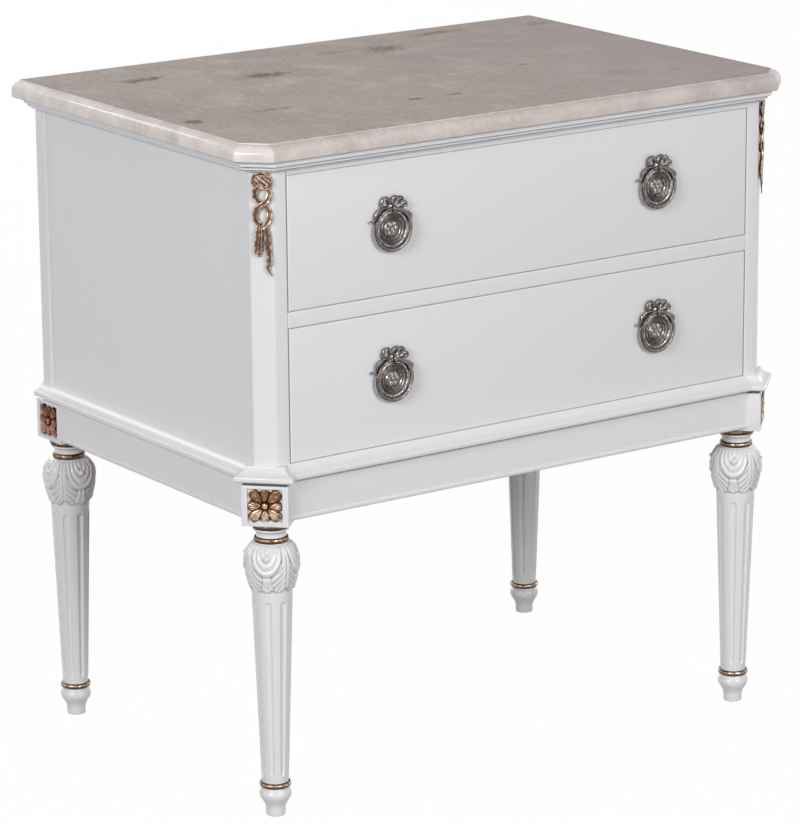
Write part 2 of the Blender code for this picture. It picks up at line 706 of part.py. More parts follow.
def build_ribbons(parent, finish):
    """Gilt ribbon on each canted post: knot, two loops of the twist, two hanging tails."""
    top = STONE_BOTTOM - CORNICE_HEIGHT - RIBBON_DROP
    knot_z = -RIBBON_KNOT_HEIGHT / 2
    first_z = -RIBBON_KNOT_HEIGHT - RIBBON_LOOP_HEIGHT / 2 + RIBBON_BAND
    second_z = first_z - RIBBON_LOOP_HEIGHT + RIBBON_BAND
    tail_z = second_z - RIBBON_LOOP_HEIGHT / 2 + RIBBON_BAND
    for name, side in (("left", -1), ("right", 1)):
        turn = 45 * side
        place = (side * (HALF_CASE - POST_CANT / 2), POST_CANT / 2, top)
        stretch = RIBBON_KNOT_HEIGHT / RIBBON_WIDTH
        knot_centre = (0, knot_z)
        knot = []
        for depth in ribbon_layer(0):
            knot.append(circle(RIBBON_WIDTH / 2, depth, SMALL_FACETS, "Y", knot_centre, stretch))
        ribbon = piece(f"ribbon_{name}", loft(knot), finish, parent, place, turn)
        combine(ribbon, ribbon_loop(first_z, 1), "UNION", place, turn)
        combine(ribbon, ribbon_loop(second_z, 2), "UNION", place, turn)
        tails = ((-1, RIBBON_SHORT_TAIL, 3), (1, RIBBON_LONG_TAIL, 4))
        for lean, length, order in tails:
            root = lean * RIBBON_BAND / 2
            tip = lean * (RIBBON_WIDTH / 2 - RIBBON_BAND)
            outline = [
                (root - RIBBON_BAND / 2, tail_z),
                (root + RIBBON_BAND / 2, tail_z),
                (tip + RIBBON_BAND, tail_z - length + RIBBON_BAND),
                (tip + lean * RIBBON_BAND / 2, tail_z - length),
                (tip - RIBBON_BAND, tail_z - length + RIBBON_BAND),
            ]
            combine(ribbon, prism(outline, "Y", *ribbon_layer(order)), "UNION", place, turn)


def build_drawer(parent, level, floor, lacquer, timber, silver, steel):
    """One drawer box behind an inset front, with its two ring pulls."""
    drawer = empty(f"drawer_{level}", (0, 0, floor + DRAWER_GAP), parent)
    half = HALF_OPENING - DRAWER_GAP
    groove_low = DRAWER_SIDE_LIFT + DRAWER_BOTTOM_LIFT - CLEARANCE
    groove_high = groove_low + DRAWER_BOTTOM_THICKNESS + 2 * CLEARANCE
    front_section = [
        (0.0, 0.0),
        (FRONT_THICKNESS, 0.0),
        (FRONT_THICKNESS, groove_low),
        (FRONT_THICKNESS - DRAWER_GROOVE, groove_low),
        (FRONT_THICKNESS - DRAWER_GROOVE, groove_high),
        (FRONT_THICKNESS, groove_high),
        (FRONT_THICKNESS, FRONT_HEIGHT),
        (0.0, FRONT_HEIGHT),
    ]
    front = piece(f"drawer_{level}_front", prism(front_section, "X", -half, half), lacquer, drawer)
    side_top = DRAWER_SIDE_LIFT + DRAWER_SIDE_HEIGHT
    side_section = [
        (DRAWER_HALF, DRAWER_SIDE_LIFT),
        (DRAWER_HALF, side_top),
        (DRAWER_INNER_HALF, side_top),
        (DRAWER_INNER_HALF, groove_high),
        (DRAWER_INNER_HALF + DRAWER_GROOVE, groove_high),
        (DRAWER_INNER_HALF + DRAWER_GROOVE, groove_low),
        (DRAWER_INNER_HALF, groove_low),
        (DRAWER_INNER_HALF, DRAWER_SIDE_LIFT),
    ]
    side_front = FRONT_THICKNESS + CLEARANCE
    for name, side in (("left", -1), ("right", 1)):
        shape = prism(mirrored(side_section, side), "Y", side_front, DRAWER_END_Y)
        piece(f"drawer_{level}_side_{name}", shape, timber, drawer)
    back_half = DRAWER_INNER_HALF - CLEARANCE
    back_low = (-back_half, DRAWER_END_Y - DRAWER_BACK_THICKNESS, groove_high)
    back_high = (back_half, DRAWER_END_Y, side_top)
    piece(f"drawer_{level}_back", box(back_low, back_high), timber, drawer)
    bottom_half = DRAWER_INNER_HALF + DRAWER_GROOVE - CLEARANCE
    bottom_front = FRONT_THICKNESS - DRAWER_GROOVE + CLEARANCE
    bottom_low = (-bottom_half, bottom_front, groove_low + CLEARANCE)
    bottom_high = (bottom_half, DRAWER_END_Y, groove_high - CLEARANCE)
    piece(f"drawer_{level}_bottom", box(bottom_low, bottom_high), timber, drawer)
    for name, side in (("left", -1), ("right", 1)):
        centre = (side * PULL_SPACING / 2, 0, FRONT_HEIGHT / 2)
        hole_levels = (-FRONT_THICKNESS, 2 * FRONT_THICKNESS)
        hole_radius = SCREW_RADIUS + CLEARANCE
        hole = [circle(hole_radius, y, SMALL_FACETS, "Y") for y in hole_levels]
        combine(front, loft(hole), "DIFFERENCE", centre)
        build_pull(drawer, f"{level}_{name}", centre, silver, steel)


def build_pull(drawer, label, centre, silver, steel):
    """Turned medallion under a ribbon bow, ring hung in the bow's eye, screw from inside."""
    rim = PULL_DISC_RADIUS
    boss = PULL_BOSS_RADIUS
    front = -PULL_DISC_THICKNESS
    dish = -PULL_CREST_THICKNESS
    steps = (
        (rim, -CLEARANCE),
        (rim, front),
        (rim * 0.87, front),
        (rim * 0.8, dish),
        (rim * 0.62, dish),
        (rim * 0.57, front),
        (rim * 0.47, front),
        (rim * 0.42, dish),
        (boss, dish),
        (boss * 0.8, -PULL_BOSS_THICKNESS * 0.85),
        (boss * 0.4, -PULL_BOSS_THICKNESS),
    )
    disc = loft([circle(radius, y, DISC_FACETS, "Y") for radius, y in steps])
    plate = piece(f"pull_plate_{label}", disc, silver, drawer, centre, smooth=True)
    depths = (-CLEARANCE, -PULL_CREST_THICKNESS)
    upper_radius = PULL_CREST_WIDTH / 6
    lower_radius = PULL_CREST_WIDTH / 5
    upper_z = PULL_CREST_HEIGHT - upper_radius
    lower_z = PULL_DISC_RADIUS + lower_radius * 0.35
    for side in (-1, 1):
        lower_x = side * (PULL_CREST_WIDTH / 2 - lower_radius)
        for radius, middle in (
            (upper_radius, (side * upper_radius * 0.96, upper_z)),
            (lower_radius, (lower_x, lower_z)),
        ):
            lobe = [circle(radius, y, SMALL_FACETS, "Y", middle) for y in depths]
            combine(plate, loft(lobe), "UNION", centre)
        tail = [
            (side * PULL_DISC_RADIUS * 0.85, PULL_TAIL_RISE + PULL_TAIL_TOP),
            (side * PULL_TAIL_REACH, PULL_TAIL_RISE - PULL_TAIL_DROOP),
            (side * PULL_DISC_RADIUS * 0.9, PULL_TAIL_RISE - PULL_TAIL_FOOT),
        ]
        tail_depths = (-CLEARANCE, -PULL_TAIL_THICKNESS)
        combine(plate, prism(tail, "Y", *tail_depths), "UNION", centre)
    hole_radius = RING_WIRE_RADIUS + EYE_PLAY
    eye_half = hole_radius + EYE_WALL
    web = (
        (-EYE_WIDTH / 2, -RING_STAND_OFF - eye_half, RING_RADIUS - eye_half),
        (EYE_WIDTH / 2, -CLEARANCE, RING_RADIUS + eye_half),
    )
    combine(plate, box(*web), "UNION", centre)
    hole = []
    for x in (-EYE_WIDTH, EYE_WIDTH):
        round_points = circle(hole_radius, x, SMALL_FACETS)
        hole.append([(x, u - RING_STAND_OFF, v + RING_RADIUS) for u, v, _ in round_points])
    combine(plate, loft(hole), "DIFFERENCE", centre)
    bite = [circle(SCREW_RADIUS + CLEARANCE, y, SMALL_FACETS, "Y") for y in (SCREW_BITE, -SCREW_BITE)]
    combine(plate, loft(bite), "DIFFERENCE", centre)
    hinge_place = (centre[0], centre[1] - RING_STAND_OFF, centre[2] + RING_RADIUS)
    hinge = empty(f"hinge_{label}", hinge_place, drawer)
    rings = []
    for step in range(RING_FACETS):
        angle = 2 * math.pi * step / RING_FACETS
        ring = []
        for u, v, _ in circle(RING_WIRE_RADIUS, 0, WIRE_FACETS):
            reach = RING_RADIUS + u
            ring.append((reach * math.sin(angle), v, reach * math.cos(angle) - RING_RADIUS))
        rings.append(ring)
    piece(f"pull_ring_{label}", loft(rings, joined=True), silver, hinge, smooth=True)
    seat = FRONT_THICKNESS + CLEARANCE
    screw = (
        (SCREW_RADIUS, CLEARANCE - SCREW_BITE),
        (SCREW_RADIUS, seat),
        (SCREW_HEAD_RADIUS, seat),
        (SCREW_HEAD_RADIUS, seat + SCREW_HEAD_HEIGHT * 0.5),
        (SCREW_HEAD_RADIUS * 0.5, seat + SCREW_HEAD_HEIGHT),
    )
    shape = loft([circle(radius, y, SMALL_FACETS, "Y") for radius, y in screw])
    piece(f"pull_screw_{label}", shape, steel, drawer, centre, smooth=True)


def build():
    """Clear the scene and put the whole commode together."""
    for old in list(bpy.data.objects):
        bpy.data.objects.remove(old)
    lacquer = material("white_lacquer", (0.80, 0.80, 0.81), 0.35)
    stone = material("polished_stone", (0.52, 0.46, 0.41), 0.25)
    gilt = material("antique_gilt", (0.55, 0.30, 0.12), 0.35, 1.0)
    silver = material("antique_silver", (0.52, 0.50, 0.48), 0.30, 1.0)
    timber = material("beech", (0.62, 0.45, 0.28), 0.55)
    steel = material("screw_steel", (0.55, 0.55, 0.56), 0.35, 1.0)
    case = empty("nightstand", (0, CASE_FRONT_Y, 0))
    build_stone_top(case, stone)
    build_cornice(case, lacquer)
    build_posts(case, lacquer)
    build_panels(case, lacquer)
    build_rails_and_boards(case, lacquer, timber)
    build_runners(case, timber)
    build_base_moulding(case, lacquer)
    build_aprons(case, lacquer)
    build_legs_and_blocks(case, lacquer, gilt)
    build_ribbons(case, gilt)
    for level, floor in (("upper", RAIL_TOP), ("lower", CASE_FLOOR)):
        build_drawer(case, level, floor, lacquer, timber, silver, steel)
    bpy.context.view_layer.update()


build()
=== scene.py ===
"""Looks of a two-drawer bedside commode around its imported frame: white satin lacquer, polished
limestone, antique gilding and silvered ring pulls. Metres, +Z up, drawer fronts towards -Y."""

import math

import bmesh
import bpy
import numpy as np
from mathutils import Matrix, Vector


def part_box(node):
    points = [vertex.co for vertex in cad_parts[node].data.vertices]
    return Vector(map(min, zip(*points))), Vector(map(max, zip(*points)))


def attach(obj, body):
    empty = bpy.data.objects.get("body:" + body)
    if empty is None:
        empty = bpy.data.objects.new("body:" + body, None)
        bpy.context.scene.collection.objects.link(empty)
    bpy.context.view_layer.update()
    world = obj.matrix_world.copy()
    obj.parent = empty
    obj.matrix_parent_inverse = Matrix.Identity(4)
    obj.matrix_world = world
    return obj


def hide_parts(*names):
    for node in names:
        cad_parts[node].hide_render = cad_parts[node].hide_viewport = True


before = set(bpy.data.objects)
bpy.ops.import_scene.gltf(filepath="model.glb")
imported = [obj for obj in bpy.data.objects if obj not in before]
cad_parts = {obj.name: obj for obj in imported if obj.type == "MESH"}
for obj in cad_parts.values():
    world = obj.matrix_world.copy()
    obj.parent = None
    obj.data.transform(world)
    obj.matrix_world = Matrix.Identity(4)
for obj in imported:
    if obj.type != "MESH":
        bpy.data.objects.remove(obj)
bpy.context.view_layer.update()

# Studio: the viewpoint of a catalogue picture, taken from the front left and a little above
# with a long lens, in a white room with a pale floor. Soft boxes give place, target, size, watts.
CAMERA_PLACE = (-2.4053, -3.4384, 1.4642)
CAMERA_YAW = math.radians(34.83)
CAMERA_PITCH = math.radians(15.06)
CAMERA_ROLL = math.radians(-0.48)
CAMERA_LENS = 176.74
CAMERA_SENSOR = 36.0
CAMERA_REACH = 100.0
ROOM_WHITE = (1.0, 1.0, 1.0, 1.0)
AMBIENT_STRENGTH = 0.15
FLOOR_SIZE = 40.0
FLOOR_COLOUR = (0.92, 0.92, 0.92, 1.0)
FLOOR_BOUNCE = (0.36, 0.36, 0.36, 1.0)
FLOOR_WHITENESS = 0.975
FLOOR_ROUGHNESS = 0.9
CASE_MIDDLE = (0.0, 0.0, 0.4)
TOP_MIDDLE = (-0.2, 0.0, 0.6)
SOFT_BOXES = {
    "front_softbox": ((0.4, -6.6, 3.2), CASE_MIDDLE, 2.6, 222.0),
    "left_softbox": ((-5.9, -2.75, 3.0), CASE_MIDDLE, 2.4, 238.0),
    "rear_fill": ((0.9, 6.3, 1.6), CASE_MIDDLE, 2.6, 130.0),
    "right_fill": ((6.2, 1.2, 2.3), CASE_MIDDLE, 2.6, 110.0),
    "back_softbox": ((-1.15, 2.9, 2.35), TOP_MIDDLE, 0.8, 14.0),
}


def unit(vectors):
    """Vectors divided by their own lengths."""
    return vectors / np.linalg.norm(vectors, axis=-1, keepdims=True)


def stand(name, data, right, up, back, place):
    """A camera or lamp in the scene, by its right, up and back directions and its place."""
    made = bpy.data.objects.new(name, data)
    rows = np.column_stack([right, up, back, place]).tolist()
    made.matrix_world = Matrix([*rows, (0.0, 0.0, 0.0, 1.0)])
    scene.collection.objects.link(made)
    return made


def camera_sides(yaw, pitch, roll):
    """Right, up and back: forward is turned right by yaw and down by pitch, then the right and
    up directions are turned about it by roll."""
    ahead = math.cos(pitch)
    forward = np.array([math.sin(yaw) * ahead, math.cos(yaw) * ahead, -math.sin(pitch)])
    right = np.array([math.cos(yaw), -math.sin(yaw), 0.0])
    up = np.cross(right, forward)
    rolled_right = math.cos(roll) * right + math.sin(roll) * up
    return rolled_right, math.cos(roll) * up - math.sin(roll) * right, -forward


def soft_light(name, place, target, size, power):
    """A square soft box at a place, its face turned to a target point."""
    lamp = bpy.data.lights.new(name, "AREA")
    lamp.shape = "SQUARE"
    lamp.size = size
    lamp.energy = power
    back = unit(np.subtract(place, target))
    side = unit(np.cross((0.0, 0.0, 1.0), back))
    stand(name, lamp, side, np.cross(back, side), back, place)


def plug(tree, value, socket):
    """Link a socket to an input, or set the input to a plain value."""
    if isinstance(value, bpy.types.NodeSocket):
        tree.links.new(value, socket)
    else:
        socket.default_value = value


def feed(tree, made, **values):
    """Plug values or sockets into a node's inputs by their names."""
    for key, value in values.items():
        plug(tree, value, made.inputs[key.replace("_", " ")])


def add_node(tree, kind, *values, **settings):
    """One node of a kind. Settings and inputs come by name, other inputs in their own order."""
    made = tree.nodes.new(f"ShaderNode{kind}")
    for key, value in settings.items():
        if hasattr(made, key):
            setattr(made, key, value)
        else:
            feed(tree, made, **{key: value})
    for value, socket in zip(values, made.inputs):
        plug(tree, value, socket)
    return made


def worked_out(tree, operation, first, second):
    """The socket of one operation on two values or sockets."""
    return add_node(tree, "Math", first, second, operation=operation).outputs[0]


def ramp_value(tree, value, low, high, to_low=0.0, to_high=1.0):
    """Map a value socket from one range to another, held at the ends."""
    return add_node(tree, "MapRange", value, low, high, to_low, to_high, clamp=True).outputs[0]


def mix_colours(tree, share, low, high):
    """Blend two colours or sockets by a share socket and give the blended socket."""
    blend = add_node(tree, "Mix", share, data_type="RGBA")
    plug(tree, low, blend.inputs[6])
    plug(tree, high, blend.inputs[7])
    return blend.outputs[2]


def seen_white(tree):
    """1 for camera, glossy and transmission rays, which see the room as plain white."""
    rays = add_node(tree, "LightPath").outputs
    seen = worked_out(tree, "MAXIMUM", rays["Is Camera Ray"], rays["Is Glossy Ray"])
    return worked_out(tree, "MAXIMUM", seen, rays["Is Transmission Ray"])


def finish_tree(name):
    """A new finish with its node tree, its shader and its object coordinates."""
    finish = bpy.data.materials.new(name)
    finish.use_nodes = True
    tree = finish.node_tree
    place = add_node(tree, "TexCoord").outputs["Object"]
    return finish, tree, tree.nodes["Principled BSDF"], place


scene = bpy.context.scene
scene.view_settings.view_transform = "Standard"
lens = bpy.data.cameras.new("camera")
lens.lens = CAMERA_LENS
lens.sensor_width = CAMERA_SENSOR
lens.clip_end = CAMERA_REACH
camera_turn = camera_sides(CAMERA_YAW, CAMERA_PITCH, CAMERA_ROLL)
scene.camera = stand("camera", lens, *camera_turn, CAMERA_PLACE)

room = bpy.data.worlds.new("white_room")
room.use_nodes = True
room_tree = room.node_tree
room_level = ramp_value(room_tree, seen_white(room_tree), 0.0, 1.0, AMBIENT_STRENGTH)
feed(room_tree, room_tree.nodes["Background"], Color=ROOM_WHITE, Strength=room_level)
scene.world = room
for name, settings in SOFT_BOXES.items():
    soft_light(name, *settings)

floor_mesh = bpy.data.meshes.new("floor")
floor_corners = np.array([(-1, -1, 0), (1, -1, 0), (1, 1, 0), (-1, 1, 0)]) * FLOOR_SIZE / 2
floor_mesh.from_pydata(floor_corners.tolist(), [], [(0, 1, 2, 3)])
floor = bpy.data.objects.new("floor", floor_mesh)
floor_paint, floor_tree, floor_shader = finish_tree("pale_floor")[:3]
white_ray = seen_white(floor_tree)
floor_tone = mix_colours(floor_tree, white_ray, FLOOR_BOUNCE, FLOOR_COLOUR)
feed(floor_tree, floor_shader, Base_Color=floor_tone, Roughness=FLOOR_ROUGHNESS)
feed(floor_tree, floor_shader, Specular_IOR_Level=0.0)
floor_glow = add_node(floor_tree, "Emission", Color=ROOM_WHITE, Strength=1.0).outputs[0]
floor_share = worked_out(floor_tree, "MULTIPLY", white_ray, FLOOR_WHITENESS)
floor_mix = add_node(floor_tree, "MixShader", floor_share, floor_shader.outputs[0], floor_glow)
feed(floor_tree, floor_tree.nodes["Material Output"], Surface=floor_mix.outputs[0])
floor_mesh.materials.append(floor_paint)
scene.collection.objects.link(floor)

# Turned legs: beech turned on a lathe, carved and fluted by hand, then sprayed in the white
# lacquer of the case. Foot, ankle, fluted shaft, acanthus bulb and neck are one piece each.
# The knots of foot and neck give radius and height in millimetres, the bulb's radius and share.
MM = 0.001
LEG_COLUMNS = 240
LEG_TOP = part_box("corner_block_back_left")[0].z
FOOT_KNOTS = (
    (10, 0.6), (10.3, 8.5), (11.5, 12.5), (13.6, 16.2),
    (15.6, 19.6), (16.4, 23), (15.7, 26.2), (14, 29.2),
)
SOLE_SHARE = 0.94
ANKLE_RADIUS = 0.0137
ANKLE_ENDS = (0.0300, 0.0400)
SHAFT_RADIUS = 0.0138
SHAFT_TAPER = 0.0070
SHAFT_LOW = 0.037
FLUTES = 8
FLUTE_SHARE = 0.44
FLUTE_DEPTH = 0.0019
FLUTE_ROUND = 0.0045
FLUTE_LOW = 0.0445
FLUTE_HIGH = 0.2306
BULB_LOW = 0.2408
BULB_HIGH = 0.2908
BULB_KNOTS = (
    (0.0206, 0.0), (0.0217, 0.08), (0.0237, 0.2), (0.0257, 0.36), (0.0266, 0.52),
    (0.0264, 0.66), (0.0249, 0.8), (0.0216, 0.91), (0.0172, 1.0),
)
LEAF_LAYER = 0.0013
NECK_KNOTS = (
    (16, 291.4), (15.6, 296.6), (15.3, 299), (15.8, 301.2),
    (17.7, 302.8), (18.6, 304.1), (18.3, 305.4),
)
SHOULDER_RADIUS = 0.0174
SHOULDER_LOW = 0.3059
LACQUER_WHITE = (0.816, 0.814, 0.836, 1.0)
LACQUER_SHADE = (0.797, 0.794, 0.818, 1.0)
LACQUER_PAINTED_SHADE = (0.12, 0.113, 0.11, 1.0)
TINY = 1e-6


def bump(distance, width):
    """A rounded ridge: one at its middle, falling off as a bell curve over the width."""
    return np.exp(-((distance / width) ** 2))


def step_up(value, low, high):
    """Zero below low, one above high, and an S-shaped rise between."""
    share = np.clip((value - low) / (high - low), 0.0, 1.0)
    return share * share * (3.0 - 2.0 * share)


def dome(distance):
    """A half round: one at its middle, falling as a circle to zero at a distance of one."""
    return np.sqrt(np.clip(1.0 - distance**2, 0.0, 1.0))


def full_turn(count):
    """Evenly spaced angles round a full turn, the last one short of the first."""
    return np.linspace(0.0, 2 * math.pi, count, endpoint=False)


def off_middle(turn, count):
    """How far an angle lies from the middle of the nearest of count equal parts, 0 to 1."""
    half = math.pi / count
    return np.abs((turn + half) % (2 * half) - half) / half


def gridded(x, y, z):
    """Points from three coordinates, spread to the same rows and columns."""
    return np.stack(np.broadcast_arrays(x, y, z), axis=-1)


def smooth_line(knots, count):
    """Points along a smooth curve through knots, by cubic pieces that leave each knot along
    the chord between its two neighbours."""
    knots = np.asarray(knots, float)
    slopes = np.gradient(knots, axis=0)
    place = np.linspace(0.0, len(knots) - 1.0, count)
    index = np.minimum(place.astype(int), len(knots) - 2)
    share = (place - index)[:, None]
    start, end = knots[index], knots[index + 1]
    leave, reach = slopes[index], slopes[index + 1]
    cubic = 2.0 * start - 2.0 * end + leave + reach
    square = 3.0 * end - 3.0 * start - 2.0 * leave - reach
    return cubic * share**3 + square * share**2 + leave * share + start


def turned_to(points, place, turn):
    """Points turned about the upright axis by an angle in degrees, then set at a place."""
    angle = math.radians(turn)
    x = points[..., 0] * math.cos(angle) - points[..., 1] * math.sin(angle)
    y = points[..., 0] * math.sin(angle) + points[..., 1] * math.cos(angle)
    return gridded(x, y, points[..., 2]) + place


def skin(name, patches, sharp):
    """One mesh from grids of points. A patch is (points by rows and columns, looped, capped,
    hollow): looped closes its columns, capped fills its first and last row, hollow is the
    depth mark of each point. Shared edges and poles merge, and faces turn outwards."""
    points, faces, marks, start = [], [], [], 0
    for grid, looped, capped, hollow in patches:
        rows, columns = grid.shape[:2]
        index = start + np.arange(rows * columns).reshape(rows, columns)
        ring = np.concatenate([index, index[:, :1]], axis=1) if looped else index
        around = np.stack([ring[:-1, :-1], ring[:-1, 1:], ring[1:, 1:], ring[1:, :-1]], -1)
        faces += around.reshape(-1, 4).tolist()
        if capped:
            faces += [index[0, ::-1].tolist(), index[-1].tolist()]
        points.append(grid.reshape(-1, 3))
        marks.append(np.broadcast_to(hollow, (rows, columns)).ravel())
        start += rows * columns
    mesh = bpy.data.meshes.new(name)
    mesh.from_pydata(np.concatenate(points).tolist(), [], faces)
    depth = mesh.attributes.new("hollow", "FLOAT", "POINT")
    depth.data.foreach_set("value", np.concatenate(marks).astype(np.float32))
    shape = bmesh.new()
    shape.from_mesh(mesh)
    bmesh.ops.remove_doubles(shape, verts=shape.verts, dist=TINY)
    bmesh.ops.recalc_face_normals(shape, faces=shape.faces)
    shape.to_mesh(mesh)
    shape.free()
    mesh.shade_smooth()
    mesh.set_sharp_from_angle(angle=math.radians(sharp))
    return mesh


def fit_piece(name, patches, finish, node=None, body="case", sharp=38.0):
    """Skin patches and put the piece on a body in its finish, for the CAD node it replaces."""
    mesh = skin(node or name, patches, sharp)
    mesh.materials.append(finish)
    made = bpy.data.objects.new(name, mesh)
    scene.collection.objects.link(made)
    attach(made, body)
    if node:
        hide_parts(node)


def noise_value(tree, vector, scale, detail=3.0, roughness=0.55):
    """Cloudy noise at a scale per metre, read at a vector socket."""
    cloud = add_node(tree, "TexNoise", Vector=vector, Scale=scale, Detail=detail)
    feed(tree, cloud, Roughness=roughness)
    return cloud.outputs["Fac"]


def depth_mark(tree):
    """The piece's own mark of how deep a point lies: below zero on crests, above in hollows. On lacquer it
    is painted shade; on metal it is patina and wear, with painted shade or highlight on some sides.
    """
    return add_node(tree, "Attribute", attribute_name="hollow").outputs["Fac"]


def surface_bump(tree, shader, height, distance):
    """Feed a height socket to the shader's normal as relief of a real distance in metres."""
    relief = add_node(tree, "Bump", Strength=1.0, Distance=distance, Height=height)
    feed(tree, shader, Normal=relief.outputs["Normal"])


def sprayed_lacquer():
    """Satin lacquer: a faint cloudy tone, shade painted dark into the hollows by the depth mark, and fine
    orange peel.
    """
    finish, tree, shader, place = finish_tree("white_lacquer")
    cloud = noise_value(tree, place, 4.0, 4.0, 0.5)
    tone = ramp_value(tree, cloud, 0.25, 0.75)
    plain = mix_colours(tree, tone, LACQUER_SHADE, LACQUER_WHITE)
    # Painted shade: the depth mark darkens grooves, quirks and carving towards the shade colour.
    painted_shade = ramp_value(tree, depth_mark(tree), 0.0, 1.0)
    colour = mix_colours(tree, painted_shade, plain, LACQUER_PAINTED_SHADE)
    gloss = ramp_value(tree, cloud, 0.2, 0.8, 0.27, 0.30)
    feed(tree, shader, Base_Color=colour, Roughness=gloss)
    surface_bump(tree, shader, noise_value(tree, place, 160.0, 2.0, 0.5), 0.00001)
    return finish


def leg_line():
    """Radius and height of the leg from the floor to its block: a bullet foot, a plain ankle
    behind the gilt ring, a straight taper, the bulb's body, and a hollow neck."""
    foot = smooth_line(FOOT_KNOTS, 40) * MM
    ankle = np.column_stack([np.full(6, ANKLE_RADIUS), np.linspace(*ANKLE_ENDS, 6)])
    stretches = (
        (FLUTE_LOW - 0.003, FLUTE_LOW + 0.004, 12),
        (FLUTE_LOW + 0.0055, FLUTE_HIGH - 0.0055, 22),
        (FLUTE_HIGH - 0.004, FLUTE_HIGH + 0.0025, 12),
        (FLUTE_HIGH + 0.0035, BULB_LOW - 0.0008, 5),
    )
    levels = np.concatenate([np.linspace(*stretch) for stretch in stretches])
    taper = (levels - SHAFT_LOW) / (BULB_LOW - SHAFT_LOW)
    shaft = np.column_stack([SHAFT_RADIUS + SHAFT_TAPER * taper, levels])
    share = np.linspace(0.0, 1.0, 120)
    knots = smooth_line(BULB_KNOTS, 200)
    bulb_radius = np.interp(share, knots[:, 1], knots[:, 0])
    bulb = np.column_stack([bulb_radius, BULB_LOW + (BULB_HIGH - BULB_LOW) * share])
    neck = smooth_line(NECK_KNOTS, 24) * MM
    shoulder = [(SHOULDER_RADIUS, SHOULDER_LOW), (SHOULDER_RADIUS, LEG_TOP)]
    return np.concatenate([foot, ankle, shaft, bulb, neck, shoulder])


def carved_bulb(turn, share):
    """Relief of the acanthus bulb in metres, four times round, and its depth mark. Each quarter
    holds a U-shaped cartouche with nested arcs, a knob and beads, a tongue below it, slanting
    lobes beside the tongue, and a creased rib on its edges; the lower edge is scalloped. The
    depth mark paints shade in the sunk carving and just under the leaves' lower edge."""
    quarter = off_middle(turn, 4)
    shield = np.sqrt((quarter / 0.74) ** 2 + ((share - 0.96) / 0.54) ** 2)
    inside = 1.0 - step_up(shield, 0.90, 0.98)
    outside = step_up(shield, 1.02, 1.16)
    relief = bump(shield - 0.98, 0.08) - 1.1 * bump(shield - 1.13, 0.055)
    relief += inside * 0.5 * np.cos(2 * math.pi * (shield - 0.98) / 0.30)
    knob = (quarter / 0.10) ** 2 + ((share - 0.745) / 0.048) ** 2
    relief += 1.5 * np.exp(-knob) - 0.8 * np.exp(-((np.sqrt(knob) - 1.7) ** 2) / 0.18)
    for bead in (0.0, 0.16):
        spot = ((quarter - bead) / 0.055) ** 2 + ((share - 0.505 - 0.3 * bead) / 0.026) ** 2
        relief += 0.7 * np.exp(-spot)
    tongue_edge = 0.20 + 0.26 * np.clip(1.0 - share / 0.30, 0.0, 1.0) ** 1.5
    tongue = (1.0 - step_up(quarter, tongue_edge - 0.05, tongue_edge + 0.02)) * outside
    relief += tongue * (0.45 - 0.5 * bump(quarter, 0.045))
    relief -= 0.8 * outside * bump(quarter - tongue_edge - 0.03, 0.03) * (share < 0.4)
    lobe_place = (share - 0.36 * quarter**2 - 0.06) / 0.135
    creases = (1.0 - np.abs(np.sin(math.pi * lobe_place)) ** 0.6) * (1.0 - tongue)
    relief -= 1.5 * outside * creases * (1.0 - 0.9 * step_up(quarter, 0.70, 0.95))
    relief += 0.8 * bump(quarter - 1.0, 0.20) - 1.5 * bump(quarter - 1.0, 0.034)
    relief -= 0.5 * bump(quarter - 0.78, 0.05) * step_up(share, 0.25, 0.45)
    notch = np.sin(math.pi * np.clip(quarter / 0.56, 0.0, 1.0)) ** 2
    edge = 0.012 + 0.06 * notch + 0.11 * step_up(quarter, 0.60, 1.0)
    layer = step_up(share, edge - 0.010, edge + 0.016) * (1.0 - step_up(share, 0.955, 1.0))
    curl = 0.45 * bump(share - edge - 0.03, 0.03)
    # Painted shade just under the leaves' lower edge.
    under = 0.9 * bump(share - edge + 0.012, 0.022)
    mark = np.clip(np.maximum(-0.22 * layer * relief, 0.35 * under), 0.0, 1.0)
    return layer * (LEAF_LAYER + MM * (relief + curl)), mark


def fluted(turn, level):
    """Depth of the flutes in metres: round hollows, evenly spaced round the shaft, that close
    in an arch at both ends."""
    across = off_middle(turn, FLUTES) / FLUTE_SHARE
    end = np.minimum(level - FLUTE_LOW, FLUTE_HIGH - level) / FLUTE_ROUND
    width = dome(1.0 - np.clip(end, 0.0, 1.0))
    inner = dome(across / np.maximum(width, TINY))
    return FLUTE_DEPTH * inner * np.minimum(1.0, 1.6 * width)


def leg_patch():
    """The whole leg as a grid of height by angle, and its depth mark: the turned line's radius
    less the flutes and plus the carving, closed at the foot and at the top."""
    line = leg_line()
    angles = full_turn(LEG_COLUMNS)[None, :]
    level = line[:, 1:]
    from_face = angles + math.pi / 2
    share = np.clip((level - BULB_LOW) / (BULB_HIGH - BULB_LOW), 0.0, 1.0)
    carving, mark = carved_bulb(from_face, share)
    in_bulb = (level > BULB_LOW) & (level < BULB_HIGH)
    flutes = fluted(from_face, level)
    radius = line[:, :1] + np.where(in_bulb, carving, 0.0) - flutes
    # Painted shade: the carving's mark on the bulb, and a faint one in the flutes.
    hollow = np.where(in_bulb, mark, 0.03 * flutes / FLUTE_DEPTH)
    grid = gridded(radius * np.cos(angles), radius * np.sin(angles), level)
    sole = [grid[0] * 0.0, grid[0] * (SOLE_SHARE, SOLE_SHARE, 0.0)]
    grid = np.concatenate([sole, grid, grid[-1:] * (0.0, 0.0, 1.0)])
    return grid, np.concatenate([np.zeros_like(hollow[:2]), hollow, hollow[-1:]])


